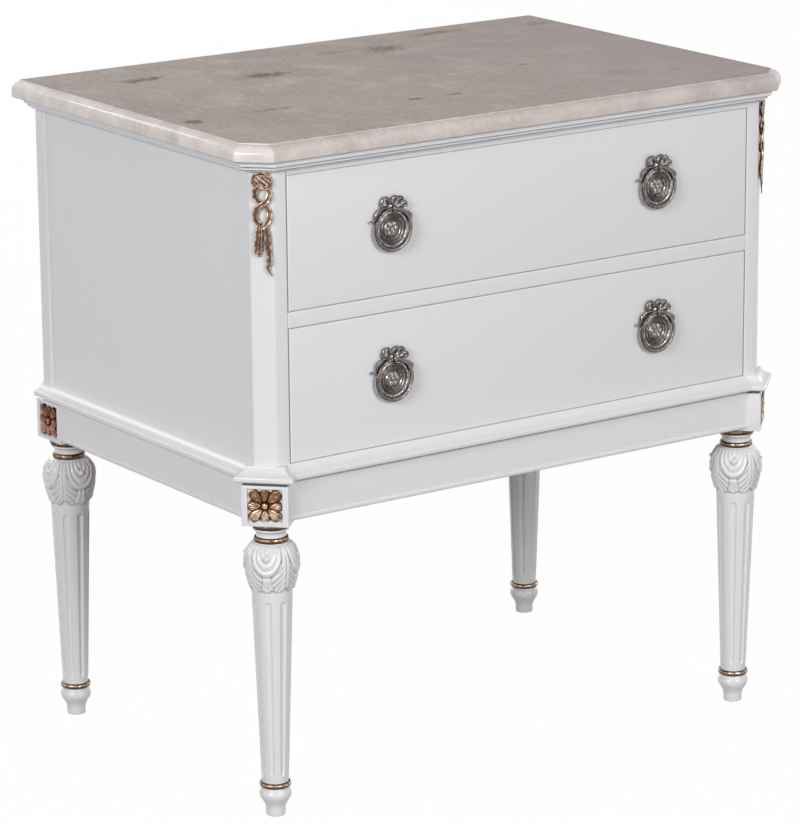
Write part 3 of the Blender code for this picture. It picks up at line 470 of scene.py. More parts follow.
lacquer = sprayed_lacquer()
CORNERS = {"front_left": -45, "front_right": 45, "back_left": -90, "back_right": 90}
LEG_PLACES = {}
leg_grid, leg_hollow = leg_patch()
for corner, turn in CORNERS.items():
    low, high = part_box(f"leg_{corner}")
    LEG_PLACES[corner] = ((low.x + high.x) / 2, (low.y + high.y) / 2, 0.0)
    leg = (turned_to(leg_grid, LEG_PLACES[corner], turn), True, False, leg_hollow)
    fit_piece(f"turned_leg_{corner}", [leg], lacquer, f"leg_{corner}")

# Gilt rings of the legs: an ankle ring over the foot, a bead over the bulb and a collar under
# the block, each a turned bead laid with antiqued gold that has gone brown where it is hollow,
# with shade painted on its upper and lower edges and a highlight painted just above its middle.
# Rings give radius, thickness, low and high edge and darkening, which on the collar is painted
# shade under the block; tones give crest, body and hollow.
RING_COLUMNS = 96
RING_ROWS = 14
GILT_RINGS = (
    (0.0140, 0.0023, 0.0308, 0.0366, 0.18),
    (0.0150, 0.0027, 0.2902, 0.2968, 0.34),
    # The collar's darkening is painted shade under the block.
    (0.0172, 0.0028, 0.3048, LEG_TOP - 0.0001, 0.45),
)
GILT_TONES = ((0.72, 0.63, 0.55, 1.0), (0.165, 0.096, 0.060, 1.0), (0.070, 0.033, 0.020, 1.0))
WARM_TONES = ((0.68, 0.53, 0.40, 1.0), (0.185, 0.094, 0.046, 1.0), (0.066, 0.030, 0.015, 1.0))
# A darker, redder copy of the gilt: painted shade for the rosettes on the side-facing back blocks.
SHADED_GILT_TONES = ((0.46, 0.25, 0.18, 1.0), (0.135, 0.045, 0.026, 1.0), (0.050, 0.018, 0.011, 1.0))


def shader_group(name, inputs, outputs):
    """A node group with named sockets of a kind each; gives it, its entries and its result."""
    group = bpy.data.node_groups.new(name, "ShaderNodeTree")
    for way, sockets in (("INPUT", inputs), ("OUTPUT", outputs)):
        for label, kind in sockets.items():
            group.interface.new_socket(label, in_out=way, socket_type=f"NodeSocket{kind}")
    entry = group.nodes.new("NodeGroupInput")
    return group, entry.outputs, group.nodes.new("NodeGroupOutput")


patina_group, patina_in, patina_out = shader_group(
    "settled_patina",
    {
        "Vector": "Vector", "Depth": "Float", "Scale": "Float",
        "Crest": "Color", "Body": "Color", "Hollow": "Color",
    },
    {"Color": "Color", "Wear": "Float"},
)
patina_cloud = noise_value(patina_group, patina_in["Vector"], patina_in["Scale"], 5.0, 0.65)
patina_spread = ramp_value(patina_group, patina_cloud, 0.25, 0.75, -0.75, 0.75)
patina_depth = worked_out(patina_group, "ADD", patina_in["Depth"], patina_spread)
patina_crest = ramp_value(patina_group, patina_depth, -0.15, -0.95)
patina_low = ramp_value(patina_group, patina_depth, 0.05, 0.85)
patina_body = mix_colours(patina_group, patina_crest, patina_in["Body"], patina_in["Crest"])
patina_colour = mix_colours(patina_group, patina_low, patina_body, patina_in["Hollow"])
patina_wear = ramp_value(patina_group, patina_depth, -1.0, 1.0)
feed(patina_group, patina_out, Color=patina_colour, Wear=patina_wear)


def antiqued_metal(name, tones, scale, smooth, rough):
    """A plated metal, rubbed bright on its crests and left dark in its hollows."""
    finish, tree, shader, place = finish_tree(name)
    worn = add_node(tree, "Group", node_tree=patina_group, Vector=place, Scale=scale)
    crest, body, hollow = tones
    feed(tree, worn, Depth=depth_mark(tree), Crest=crest, Body=body, Hollow=hollow)
    sheen = ramp_value(tree, worn.outputs["Wear"], 0.0, 1.0, smooth, rough)
    feed(tree, shader, Base_Color=worn.outputs["Color"], Roughness=sheen, Metallic=1.0)
    surface_bump(tree, shader, noise_value(tree, place, 1400.0, 2.0), 0.00008)
    return finish


gilt = antiqued_metal("antique_gilt", GILT_TONES, 260.0, 0.22, 0.55)
warm_gilt = antiqued_metal("warm_gilt", WARM_TONES, 230.0, 0.20, 0.50)
shaded_gilt = antiqued_metal("shaded_gilt", SHADED_GILT_TONES, 230.0, 0.20, 0.50)


def closed(rows):
    """Rows of a grid with the first one again at the end."""
    return np.concatenate([rows, rows[:1]])


def ring_patch(radius, thick, low, high, tone_and_painted_shade):
    """A round bead about an upright axis: an oval section, thick out from its radius and from
    low to high, carried round a circle. Its upper and lower edges are marked dark, as patina
    where the bead meets the leg and as painted shade; a band just above the middle is marked
    bright, as wear and as a painted highlight; and a darkening lowers it all over, as tone and,
    on the collar, as painted shade."""
    around = full_turn(RING_COLUMNS)[None, :]
    section = full_turn(RING_ROWS)[:, None]
    reach = radius + thick * np.cos(section)
    level = (low + high) / 2 + (high - low) / 2 * np.sin(section)
    # Painted shade on the upper and lower edges, painted highlight just above the middle.
    depth = np.abs(np.sin(section - 0.35)) * 1.7 - 0.90 + tone_and_painted_shade
    return closed(gridded(reach * np.cos(around), reach * np.sin(around), level)), closed(depth)


gilt_rings = [ring_patch(*ring) for ring in GILT_RINGS]
for corner, place in LEG_PLACES.items():
    beads = [(grid + place, True, False, depth) for grid, depth in gilt_rings]
    fit_piece(f"gilt_rings_{corner}", beads, gilt)

# Corner blocks: squared hardwood blocks over the legs, the front two set on the diagonal under
# a moulded cap, each with a square recess cut in its outer face for the rosette.
BLOCK_HALF = 0.024
FRONT_FORWARD = 0.004
BLOCK_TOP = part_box("corner_block_back_left")[1].z
CASE_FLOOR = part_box("corner_block_front_left")[1].z
BLOCK_ARRIS = 0.0008
RECESS_HALF = 0.01775
RECESS_DEPTH = 0.0025
RECESS_ARRIS = 0.0004
CAP_HALF = 0.0198
CAP_NOSE = 0.0105
CAP_EASE = 0.0006
NOSE_REACH = 0.0120
NOSE_ROUND = 0.0024
NOSE_HEIGHT = 0.0066
BED_REACH = 0.0042
COVE_DROP = 0.0084
QUIRK_DEPTH = 0.0015
QUIRK_DROP = 0.0010


def arc(centre, radius, start, end, count):
    """Points on a circle's arc between two angles in degrees."""
    angles = np.radians(np.linspace(start, end, count))
    return np.asarray(centre) + radius * np.column_stack([np.cos(angles), np.sin(angles)])


def eased(corners, radius, count=5):
    """A closed outline with each corner rounded: arcs that touch both sides at the same
    distance, worked out for all corners at once by a quadratic curve."""
    corners = np.asarray(corners, float)
    share = np.linspace(0.0, 1.0, count)[None, :, None]
    start = (corners + radius * unit(np.roll(corners, 1, axis=0) - corners))[:, None, :]
    end = (corners + radius * unit(np.roll(corners, -1, axis=0) - corners))[:, None, :]
    middle = corners[:, None, :]
    curve = (1 - share) ** 2 * start + 2 * share * (1 - share) * middle + share**2 * end
    return curve.reshape(-1, 2)


def raised(outline, level):
    """An outline seen from above, set at a height."""
    return np.insert(outline, 2, level, axis=1)


def oblong(half, front):
    """Corners of a square about the origin, its front side set at a reach of its own."""
    return np.array([(-half, -front), (half, -front), (half, half), (-half, half)])


def base_line(start, nose, bed, rise=0.0):
    """Reach and height of the base moulding from its top edge down: a shallow hollow, half way
    between a quarter round and a plain slope, from a start that may rise above the floor, then a
    rounded nose, and a quirk in its shadow, sunk behind the bed's reach."""
    nose_top = CASE_FLOOR - COVE_DROP
    nose_low = nose_top - NOSE_HEIGHT
    nose_middle = nose - NOSE_ROUND
    share = np.linspace(0.0, 1.0, 14)[:-1]
    turn = share * math.pi / 2
    out = start + (nose_middle - start) * (1.0 - np.cos(turn) + share) / 2
    down = CASE_FLOOR + rise - (COVE_DROP + rise) * (np.sin(turn) + share) / 2
    upper = arc((nose_middle, nose_top - NOSE_ROUND), NOSE_ROUND, 90, 0, 6)
    lower = arc((nose_middle, nose_low + NOSE_ROUND), NOSE_ROUND, 0, -90, 6)
    quirk = [(bed - QUIRK_DEPTH, nose_low), (bed - QUIRK_DEPTH, BLOCK_TOP - QUIRK_DROP)]
    return np.concatenate([np.column_stack([out, down]), upper, lower, quirk])


def quirk_shade(count, depth):
    """Painted shade of a base line: zero but for the two points of its quirk, which are marked dark."""
    return np.where(np.arange(count) < count - 2, 0.0, depth)


def faced_block(low, high, front):
    """A block as square rings about its facing direction: from its back, along its sides, over
    the eased front edges, across the frame and down into the recess."""
    tall = (high - low) / 2
    soft = 0.3 * BLOCK_ARRIS
    frame_half = RECESS_HALF + RECESS_ARRIS
    outline = eased(oblong(1.0, 1.0), 0.02, 3)
    rings = (
        (0.0, 0.0, BLOCK_HALF),
        (BLOCK_HALF, tall, BLOCK_HALF),
        (BLOCK_HALF, tall, BLOCK_ARRIS - front),
        (BLOCK_HALF - soft, tall - soft, soft - front),
        (BLOCK_HALF - BLOCK_ARRIS, tall - BLOCK_ARRIS, -front),
        (frame_half, frame_half, -front),
        (RECESS_HALF, RECESS_HALF, RECESS_ARRIS - front),
        (RECESS_HALF, RECESS_HALF, RECESS_DEPTH - front),
        (0.0, 0.0, RECESS_DEPTH - front),
    )
    grid = [np.insert(outline * (wide, up), 1, depth, axis=1) for wide, up, depth in rings]
    return np.stack(grid) + (0.0, 0.0, (low + high) / 2)


def block_cap():
    """The moulded cap of a front block: the base moulding's line carried round the block, as
    rings one above the other with slightly eased corners, and its depth marks, which paint
    shade into the quirk."""
    line = base_line(0.0, CAP_NOSE, BED_REACH)[::-1] + (CAP_HALF, 0.0)
    rings = [
        raised(eased(oblong(half, half + FRONT_FORWARD), CAP_EASE, 3), level) for half, level in line
    ]
    return np.stack(rings), quirk_shade(len(line), 1.0)[::-1, None]


BLOCK_FRONTS = {}
cap_grid, cap_shade = block_cap()
for corner, turn in CORNERS.items():
    in_front = corner.startswith("front")
    BLOCK_FRONTS[corner] = BLOCK_HALF + FRONT_FORWARD * in_front
    place = LEG_PLACES[corner]
    block = faced_block(LEG_TOP, BLOCK_TOP - QUIRK_DROP * in_front, BLOCK_FRONTS[corner])
    patches = [(turned_to(block, place, turn), True, False, 0.0)]
    if in_front:
        patches.append((turned_to(cap_grid, place, turn), True, True, cap_shade))
    node = f"corner_block_{corner}"
    fit_piece(f"block_{corner}", patches, lacquer, node, sharp=30.0)

# Rosettes: gilt castings of eight cupped leaves round a button, wide enough to fill the recess
# of each block, long leaves to the corners.
ROSETTE_COLUMNS = 192
ROSETTE_ROWS = 44
ROSETTE_LEAVES = 8
ROSETTE_CORNER = 0.0214
ROSETTE_SIDE = 0.0169
ROSETTE_VALLEY = 0.0150
ROSETTE_BUTTON = 0.0036
ROSETTE_GROUND = 0.0006
ROSETTE_LIFT = 0.0025
ROSETTE_OFF_FLOOR = 0.0002


def rosette_patch():
    """Grid of distance by angle, and its depth mark. The edge runs between notches and leaf
    tips; each leaf is an oval cup with a raised rim and a creased middle, and falls to the
    ground between its neighbours; the middle rises to a button in a sunk ring. The depth mark
    paints shade on the upper leaves and light on the lower ones."""
    angle = full_turn(ROSETTE_COLUMNS)[None, :]
    bent = angle + 0.045 * np.sin(3 * angle + 0.7) + 0.03 * np.sin(5 * angle + 2.0)
    leaf = off_middle(bent, ROSETTE_LEAVES)
    to_corner = np.round(bent / (2 * math.pi / ROSETTE_LEAVES)) % 2 > 0.5
    tip = np.where(to_corner, ROSETTE_CORNER, ROSETTE_SIDE)
    tip = tip * (0.97 + 0.03 * np.sin(2 * angle + 1.1))
    edge = tip - (tip - ROSETTE_VALLEY) * leaf**4
    distance = edge * np.linspace(1.0, 0.0, ROSETTE_ROWS)[:, None]
    out = np.clip((distance - ROSETTE_BUTTON) / (edge - ROSETTE_BUTTON), 0.0, 1.0)
    oval = np.sqrt((leaf / 0.97) ** 2 + ((out - 0.54) / 0.52) ** 2)
    swell = dome(math.sqrt(0.85) * oval)
    fall = step_up(oval, 0.86, 1.15)
    crease = bump(leaf, 0.12) * step_up(out, 0.1, 0.3) * (1.0 - step_up(out, 0.75, 1.0))
    side_crease = bump(leaf - 0.42 * out - 0.1, 0.10) * (1.0 - fall)
    height = 0.15 + 0.30 * out + 0.80 * swell - 0.16 * crease - 0.10 * side_crease - 0.22 * fall
    on_button = distance < ROSETTE_BUTTON
    button = dome(distance / ROSETTE_BUTTON)
    ring = bump(distance - 1.15 * ROSETTE_BUTTON, 0.0007)
    height = np.where(on_button, 0.55 + 0.75 * button, height) - 0.25 * ring
    # Painted shade and light: upper leaves marked darker, lower ones lighter, over a small overall
    # darkening.
    tone_and_painted_shade = 0.34 * np.sin(angle) * step_up(out, 0.0, 0.5) + 0.12
    leaf_mark = 0.6 * fall + 0.5 * crease + 0.4 * side_crease - 0.85 * swell**2 + tone_and_painted_shade
    depth = np.where(on_button, 0.1 - 0.7 * button, leaf_mark) + 1.1 * ring
    y = -ROSETTE_GROUND - ROSETTE_LIFT * np.clip(height, 0.02, 1.5)
    top = gridded(distance * np.cos(angle), y, distance * np.sin(angle))
    foot = top[:1] * (1.0, 0.0, 1.0)
    grid = np.concatenate([foot * 0.0, foot, top])
    return grid, np.concatenate([depth[:1], depth[:1], depth])


rosette_grid, rosette_depth = rosette_patch()
for corner, turn in CORNERS.items():
    reach = BLOCK_FRONTS[corner] - RECESS_DEPTH + ROSETTE_OFF_FLOOR
    recess = turned_to(np.array((0.0, -reach, (LEG_TOP + BLOCK_TOP) / 2)), LEG_PLACES[corner], turn)
    patches = [(turned_to(rosette_grid, recess, turn), True, False, rosette_depth)]
    # Rosettes on the back blocks face the sides and take the darker, redder copy: painted shade.
    finish = warm_gilt if corner.startswith("front") else shaded_gilt
    node = f"rosette_{corner}"
    fit_piece(f"gilt_{node}", patches, finish, node, sharp=60.0)

# Aprons and base moulding: boards between the blocks with a bead along the lower edge, and the
# cove moulding over them, run in straight lengths and coped to the front blocks.
SIDES = {"left": -1, "right": 1}
HALF_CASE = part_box("post_back_right")[1].x
FRONT_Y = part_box("drawer_upper_front")[0].y
BACK_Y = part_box("post_back_right")[1].y
BACK_POST_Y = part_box("post_back_right")[0].y
PANEL_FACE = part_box("side_panel_right")[1].x
APRON_FACE = 0.0036
BACK_APRON_FACE = -0.0045
APRON_THICKNESS = 0.020
APRON_LOW = LEG_TOP + 0.0030
BEAD_HEIGHT = 0.0060
BEAD_REACH = 0.0015
BEAD_POINTS = 13
BEAD_LIFT = 0.0004
APRON_QUIRK = 0.0006
QUIRK_LIP = 0.0004
MOULDING_DEPTH = 0.0150
COVE_RISE = 0.0030
POST_CANT = 0.0166
POST_BACK = FRONT_Y + POST_CANT + 0.0140
# Painted shade in the quirks: darker on the front run than on the sides, as the light falls.
FRONT_QUIRK_SHADE = 0.45
SIDE_QUIRK_SHADE = 0.25
DIAGONAL = math.sqrt(2.0)


def apron_line(face):
    """Reach and height round an apron's section: flat back and top, plain face, and a rounded
    bead that stands proud along the lower edge."""
    back = face - APRON_THICKNESS
    bead_top = APRON_LOW + BEAD_HEIGHT
    bead_reach = face + BEAD_REACH * np.sin(np.linspace(0.0, math.pi, BEAD_POINTS)) ** 0.6
    bead_level = np.linspace(bead_top, APRON_LOW + BEAD_LIFT, BEAD_POINTS)
    bead = np.column_stack([bead_reach, bead_level])
    plain = [(back, APRON_LOW), (back, BLOCK_TOP), (face - BLOCK_ARRIS, BLOCK_TOP)]
    plain += [(face, BLOCK_TOP - BLOCK_ARRIS), (face, bead_top + APRON_QUIRK)]
    quirk = [(face - APRON_QUIRK, bead_top + APRON_QUIRK / 2), (face - QUIRK_LIP, bead_top)]
    return np.concatenate([plain, quirk, bead[1:]])


def front_run(section, coped):
    """A section carried along the front. Its ends stop on the diagonal faces of the blocks:
    the half length shrinks by the block's distance and grows with the block's own reach."""
    reach, level = section.T
    x, y = LEG_PLACES["front_right"][:2]
    half = x + y - FRONT_Y + reach - DIAGONAL * coped
    return np.stack([gridded(sign * half, FRONT_Y - reach, level) for sign in (-1, 1)])


def side_run(section, coped, sign, end_y, start_y=None):
    """A section carried along one side to a place, from the diagonal face of the front block or
    from a place of its own."""
    reach, level = section.T
    x, y = LEG_PLACES["front_right"][:2]
    on_block = y + x - HALF_CASE - reach + DIAGONAL * coped
    start = on_block if start_y is None else start_y
    return np.stack([gridded(sign * (HALF_CASE + reach), end, level) for end in (start, end_y)])


apron = apron_line(APRON_FACE)
moulding_back = [(-MOULDING_DEPTH, BLOCK_TOP), (-MOULDING_DEPTH, CASE_FLOOR)]
moulding = np.concatenate([base_line(0.0, NOSE_REACH, APRON_FACE), moulding_back])
sweep = base_line(PANEL_FACE - HALF_CASE, NOSE_REACH, APRON_FACE, COVE_RISE)
sweep = np.concatenate([sweep, moulding_back])
cap_line = base_line(0.0, CAP_NOSE, BED_REACH)[:, 0]
cap_coped = CAP_HALF + np.append(cap_line, (cap_line[-1], 0.0))
front_shade = np.append(quirk_shade(len(cap_line), FRONT_QUIRK_SHADE), (0.0, 0.0))
side_shade = np.append(quirk_shade(len(cap_line), SIDE_QUIRK_SHADE), (0.0, 0.0))
block_back_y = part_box("corner_block_back_left")[0].y
runs = {
    "apron_front": ([front_run(apron, BLOCK_HALF)], 0.0),
    "base_moulding_front": ([front_run(moulding, cap_coped)], front_shade),
}
for side, sign in SIDES.items():
    runs[f"apron_{side}"] = ([side_run(apron, BLOCK_HALF, sign, block_back_y)], 0.0)
    lengths = [
        side_run(moulding, cap_coped, sign, POST_BACK),
        side_run(sweep, cap_coped, sign, BACK_POST_Y, POST_BACK),
        side_run(moulding, cap_coped, sign, BACK_Y, BACK_POST_Y),
    ]
    runs[f"base_moulding_{side}"] = (lengths, side_shade)
back_half = LEG_PLACES["back_right"][0] - BLOCK_HALF
back_reach, back_level = apron_line(BACK_APRON_FACE).T
back_ends = [gridded(sign * back_half, BACK_Y + back_reach, back_level) for sign in (-1, 1)]
runs["apron_back"] = ([np.stack(back_ends)], 0.0)
for node, (lengths, mark) in runs.items():
    patches = [(length, True, True, mark) for length in lengths]
    fit_piece(f"run_{node}", patches, lacquer, node, sharp=30.0)

# Case bottom and drawer runners: plain oiled beech, planed and left unpainted inside the case,
# with lacquer only on the bottom's rear edge, which shows from behind.
BEECH_LIGHT = (0.66, 0.48, 0.31, 1.0)
BEECH_DARK = (0.50, 0.33, 0.19, 1.0)
BEECH_FLECK = (0.36, 0.22, 0.12, 1.0)
GRAIN_ACROSS = (0.12, 1.6, 1.6)
GRAIN_DEEP = (1.6, 0.12, 1.6)
LEVELS = ("upper", "lower")

grain_group, grain_in, grain_out = shader_group(
    "beech_grain",
    {"Vector": "Vector", "Light": "Color", "Dark": "Color", "Fleck": "Color"},
    {"Color": "Color", "Height": "Float"},
)
grain_bands = add_node(grain_group, "TexNoise", Vector=grain_in["Vector"], Scale=9.0)
feed(grain_group, grain_bands, Detail=5.0, Distortion=0.6)
grain_tone = ramp_value(grain_group, grain_bands.outputs["Fac"], 0.35, 0.65)
grain_wood = mix_colours(grain_group, grain_tone, grain_in["Dark"], grain_in["Light"])
grain_pores = add_node(grain_group, "TexVoronoi", Vector=grain_in["Vector"], Scale=70.0)
grain_fleck = ramp_value(grain_group, grain_pores.outputs["Distance"], 0.16, 0.04, 0.0, 0.7)
grain_colour = mix_colours(grain_group, grain_fleck, grain_wood, grain_in["Fleck"])
feed(grain_group, grain_out, Color=grain_colour, Height=grain_tone)


def beech_finish(name, stretch, painted=None):
    """Oiled beech with its grain drawn out along one direction by the stretch, and lacquered
    where it lies behind a depth, as on an edge that shows."""
    finish, tree, shader, place = finish_tree(name)
    drawn = add_node(tree, "Mapping", Vector=place, Scale=stretch).outputs["Vector"]
    grain = add_node(tree, "Group", node_tree=grain_group, Vector=drawn)
    feed(tree, grain, Light=BEECH_LIGHT, Dark=BEECH_DARK, Fleck=BEECH_FLECK)
    colour, height = grain.outputs["Color"], grain.outputs["Height"]
    if painted is not None:
        behind = add_node(tree, "SeparateXYZ", place).outputs["Y"]
        edge = ramp_value(tree, behind, painted - 0.0080, painted - 0.0075)
        colour = mix_colours(tree, edge, colour, LACQUER_WHITE)
    sheen = ramp_value(tree, height, 0.0, 1.0, 0.62, 0.48)
    feed(tree, shader, Base_Color=colour, Roughness=sheen)
    surface_bump(tree, shader, height, 0.0001)
    return finish


def dress(node, finish):
    """Give a CAD node that keeps its shape its finish."""
    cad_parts[node].data.materials.clear()
    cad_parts[node].data.materials.append(finish)


beech_across = beech_finish("beech_across", GRAIN_ACROSS)
beech_deep = beech_finish("beech_deep", GRAIN_DEEP)
dress("case_bottom", beech_finish("beech_bottom", GRAIN_ACROSS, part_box("case_bottom")[1].y))
for level in LEVELS:
    for side in SIDES:
        dress(f"runner_{level}_{side}", beech_deep)

# Posts, panels, rail and top board: the lacquered carcass. Posts and rail have their edges
# eased by sanding before the lacquer; the panels stand a little back in the posts' grooves.
EDGE_EASE = 0.0014
CASE_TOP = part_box("post_back_right")[1].z
OPENING_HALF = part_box("post_front_right")[0].x
BACK_INNER = HALF_CASE - 0.0320
PANEL_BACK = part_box("side_panel_right")[0].x
PANEL_EASE = 0.0002
PANEL_SINK = 0.0002
PANEL_START = POST_BACK - 0.002
PANEL_END = BACK_POST_Y + 0.004
STRIP_SLOPE = 0.0022


def upright(outline, low, high, ease):
    """An outline seen from above, its corners eased, carried straight up from low to high."""
    plan = eased(outline, ease)
    return [(np.stack([raised(plan, low), raised(plan, high)]), True, True, 0.0)]


def eased_block(low, high, ease, count=4):
    """A block with eased edges. Each of its six faces is a grid; every point is held inside the
    block by the ease and pushed out from there by the same ease, which rounds all edges."""
    low = np.asarray(low, float)
    high = np.asarray(high, float)
    near = ease * (1.0 - np.tan(np.linspace(math.pi / 4, 0.0, count)))
    lines = [np.concatenate([a + near, np.flip(b - near)]) for a, b in zip(low, high)]
    patches = []
    for axis in range(3):
        first, second = [other for other in range(3) if other != axis]
        for wall in (low[axis], high[axis]):
            grid = np.empty((len(lines[first]), len(lines[second]), 3))
            grid[..., axis] = wall
            grid[..., first] = lines[first][:, None]
            grid[..., second] = lines[second][None, :]
            inner = np.clip(grid, low + ease, high - ease)
            patches.append((inner + ease * unit(grid - inner), False, False, 0.0))
    return patches


front_post = [(OPENING_HALF, FRONT_Y), (HALF_CASE - POST_CANT, FRONT_Y)]
front_post += [(HALF_CASE, FRONT_Y + POST_CANT), (HALF_CASE, POST_BACK), (OPENING_HALF, POST_BACK)]
back_post = [(PANEL_FACE, BACK_POST_Y), (HALF_CASE, BACK_POST_Y + STRIP_SLOPE)]
back_post += [(HALF_CASE, BACK_Y), (BACK_INNER, BACK_Y), (BACK_INNER, BACK_POST_Y)]
panel = [(PANEL_BACK, PANEL_START), (PANEL_FACE, PANEL_START)]
panel += [(PANEL_FACE, PANEL_END), (PANEL_BACK, PANEL_END)]
for corner in CORNERS:
    mirror = (SIDES[corner.split("_")[1]], 1)
    outline = np.multiply(front_post if corner.startswith("front") else back_post, mirror)
    post = upright(outline, CASE_FLOOR, CASE_TOP, EDGE_EASE)
    fit_piece(f"upright_{corner}", post, lacquer, f"post_{corner}", sharp=30.0)
for side, sign in SIDES.items():
    outline = np.multiply(panel, (sign, 1))
    board = upright(outline, CASE_FLOOR - PANEL_SINK, CASE_TOP, PANEL_EASE)
    fit_piece(f"panel_{side}", board, lacquer, f"side_panel_{side}", sharp=30.0)
rail_low, rail_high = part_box("middle_rail")
rail_start = (-OPENING_HALF, FRONT_Y, rail_low.z)
rail = eased_block(rail_start, (OPENING_HALF, rail_high.y, rail_high.z), EDGE_EASE)
fit_piece("rail_middle", rail, lacquer, "middle_rail")
for node in ("back_panel", "top_board"):
    dress(node, lacquer)

# Cornice: a lacquered moulding in three fillets with a fine groove between them, mitred round
# the top of the case and tight under the stone. Steps give reach and height.
CORNICE_STEPS = ((0.0130, 0.0050), (0.0090, 0.0038), (0.0040, 0.0027))
CORNICE_GROOVE = 0.0011
CORNICE_UNDERCUT = 0.0016
CORNICE_ROUND = 0.0006
CORNICE_SEAT = 0.0003
MITRE = math.tan(math.pi / 8)


def case_line(reach):
    """The line round the case's left side, canted corners, front and right side at a reach;
    at each mitre the point moves along the line that halves the corner."""
    x = HALF_CASE - POST_CANT + reach * MITRE
    y = FRONT_Y + POST_CANT - reach * MITRE
    right = np.array([(x, FRONT_Y - reach), (HALF_CASE + reach, y), (HALF_CASE + reach, BACK_Y)])
    return np.concatenate([right[::-1] * (-1, 1), right])


def cornice_line():
    """Reach, height and depth mark down the cornice: each fillet has rounded edges and ends in a
    groove cut back under the one above. The mark paints shade in the grooves, under the stone
    and at the foot."""
    level = CASE_TOP + CORNICE_SEAT
    points = [(CORNICE_SEAT, level, 0.2)]
    for order, (reach, height) in enumerate(CORNICE_STEPS, 1):
        top = level - CORNICE_GROOVE * (order > 1)
        level -= height
        inner = reach - CORNICE_ROUND
        points += [(inner, top, 0.0), (reach, top - CORNICE_ROUND, 0.0)]
        points += [(reach, level + CORNICE_ROUND, 0.0), (inner, level, 0.0)]
        if order < len(CORNICE_STEPS):
            back = CORNICE_STEPS[order][0] - CORNICE_UNDERCUT
            # Painted shade in the groove.
            points += [(back, level, 0.7), (back, level - CORNICE_GROOVE, 0.7)]
    return np.array([*points, (CORNICE_SEAT, level, 0.6)])


cornice = cornice_line()
cornice_lines = [raised(case_line(reach), level) for reach, level in cornice[:, :2]]
cornice_patch = (np.stack(cornice_lines, axis=1), True, True, cornice[:, 2])
fit_piece("cornice_moulding", [cornice_patch], lacquer, "cornice", sharp=25.0)

# Gilt ribbons: cast ornaments pinned to the canted posts, a gathered knot over two strands that
# cross into a figure of eight, then hanging tails, the longest of them with a folded tip.
# Tails give start, end, length, width and rise; knots of tip, loop and folds are in millimetres.
RIBBON_TOP = CASE_TOP - 0.0115
RIBBON_BAND = 0.0060
RIBBON_SWING = 0.0073
RIBBON_RISE = 0.0026
RIBBON_FORWARD = 0.0017
KNOT_DROP = 0.0125
CROSS_DROP = 0.0317
JOIN_DROP = 0.0545
STRAND_LIFT = 0.0013
STRAND_THICK = 0.0030
TAIL_THICK = 0.0028
TAIL_WAVE = 0.0005
TAIL_TUCK = 0.0015
LOOP_RISE = 0.0004
LOOP_WIDTH = 0.0040
LOOP_THICK = 0.0032
FOLD_RISE = 0.0014
FOLD_THICK = 0.0036
RIBBON_TAILS = (
    (-0.0002, -0.0012, 0.0255, 0.0026, -0.0006),
    (-0.0016, -0.0040, 0.0312, 0.0044, 0.0),
    (-0.0034, -0.0070, 0.0285, 0.0050, 0.0006),
    (0.0034, 0.0068, 0.0395, 0.0066, 0.0002),
)
RIBBON_TIP = ((5.8, -91), (4.8, -95), (6.2, -98.5), (8.8, -103))
KNOT_LOOP = ((0, -15), (6, -14.8), (8.8, -10), (7.2, -4.2), (3, -1.6), (0, -2))
KNOT_FOLDS = (
    (((-7.8, -8.2), (-4.4, -11.8), (0.6, -15.2)), 0.0036),
    (((-7, -4.4), (-1.6, -8.8), (4.8, -14.2)), 0.0052),
    (((-4, -2.2), (1.4, -6), (7.6, -10.8)), 0.0040),
    (((0.2, -1.4), (4.4, -3.4), (8, -6.8)), 0.0034),
)


def rounded(wave, power):
    """A wave made fuller: its size raised to a power, its sign kept."""
    return np.sign(wave) * np.abs(wave) ** power


def band(path, width, thick, rounds=18, groove=0.40):
    """A flat strip with rounded edges and a sunk middle, carried along a path of points, and its
    depth mark. Its section is an oval whose outer side dips by the groove; width and thick run
    along the path, and both ends close to a point."""
    along = unit(np.gradient(path, axis=0))
    out = unit(np.array([0.0, -1.0, 0.0]) + along * along[:, 1:2])
    across = np.cross(along, out)
    turn = full_turn(rounds)[None, :]
    width = np.broadcast_to(width, len(path))[:, None]
    thick = np.broadcast_to(thick, len(path))[:, None]
    side = width / 2 * rounded(np.cos(turn), 0.8)
    sunk = bump(side, 0.26 * width) * (np.sin(turn) > 0.0)
    lift = thick / 2 * rounded(np.sin(turn), 0.6) - groove * thick * sunk
    grid = path[:, None, :] + side[..., None] * across[:, None, :]
    grid = grid + lift[..., None] * out[:, None, :]
    depth = 1.05 * sunk - 0.60 * (np.sin(turn) > 0.2) + 0.75 * (np.sin(turn) < -0.3)
    start, end = [np.broadcast_to(row.mean(axis=0), (1, rounds, 3)) for row in (grid[0], grid[-1])]
    return np.concatenate([start, grid, end]), np.concatenate([depth[:1], depth, depth[-1:]])


def flat_path(knots, count, rise):
    """A smooth path through points given across and up in millimetres, bulging out by a rise in
    its middle."""
    x, z = smooth_line(knots, count).T * MM
    bulge = np.sin(np.linspace(0.0, math.pi, count))
    return np.column_stack([x, -RIBBON_RISE - rise * bulge, z])


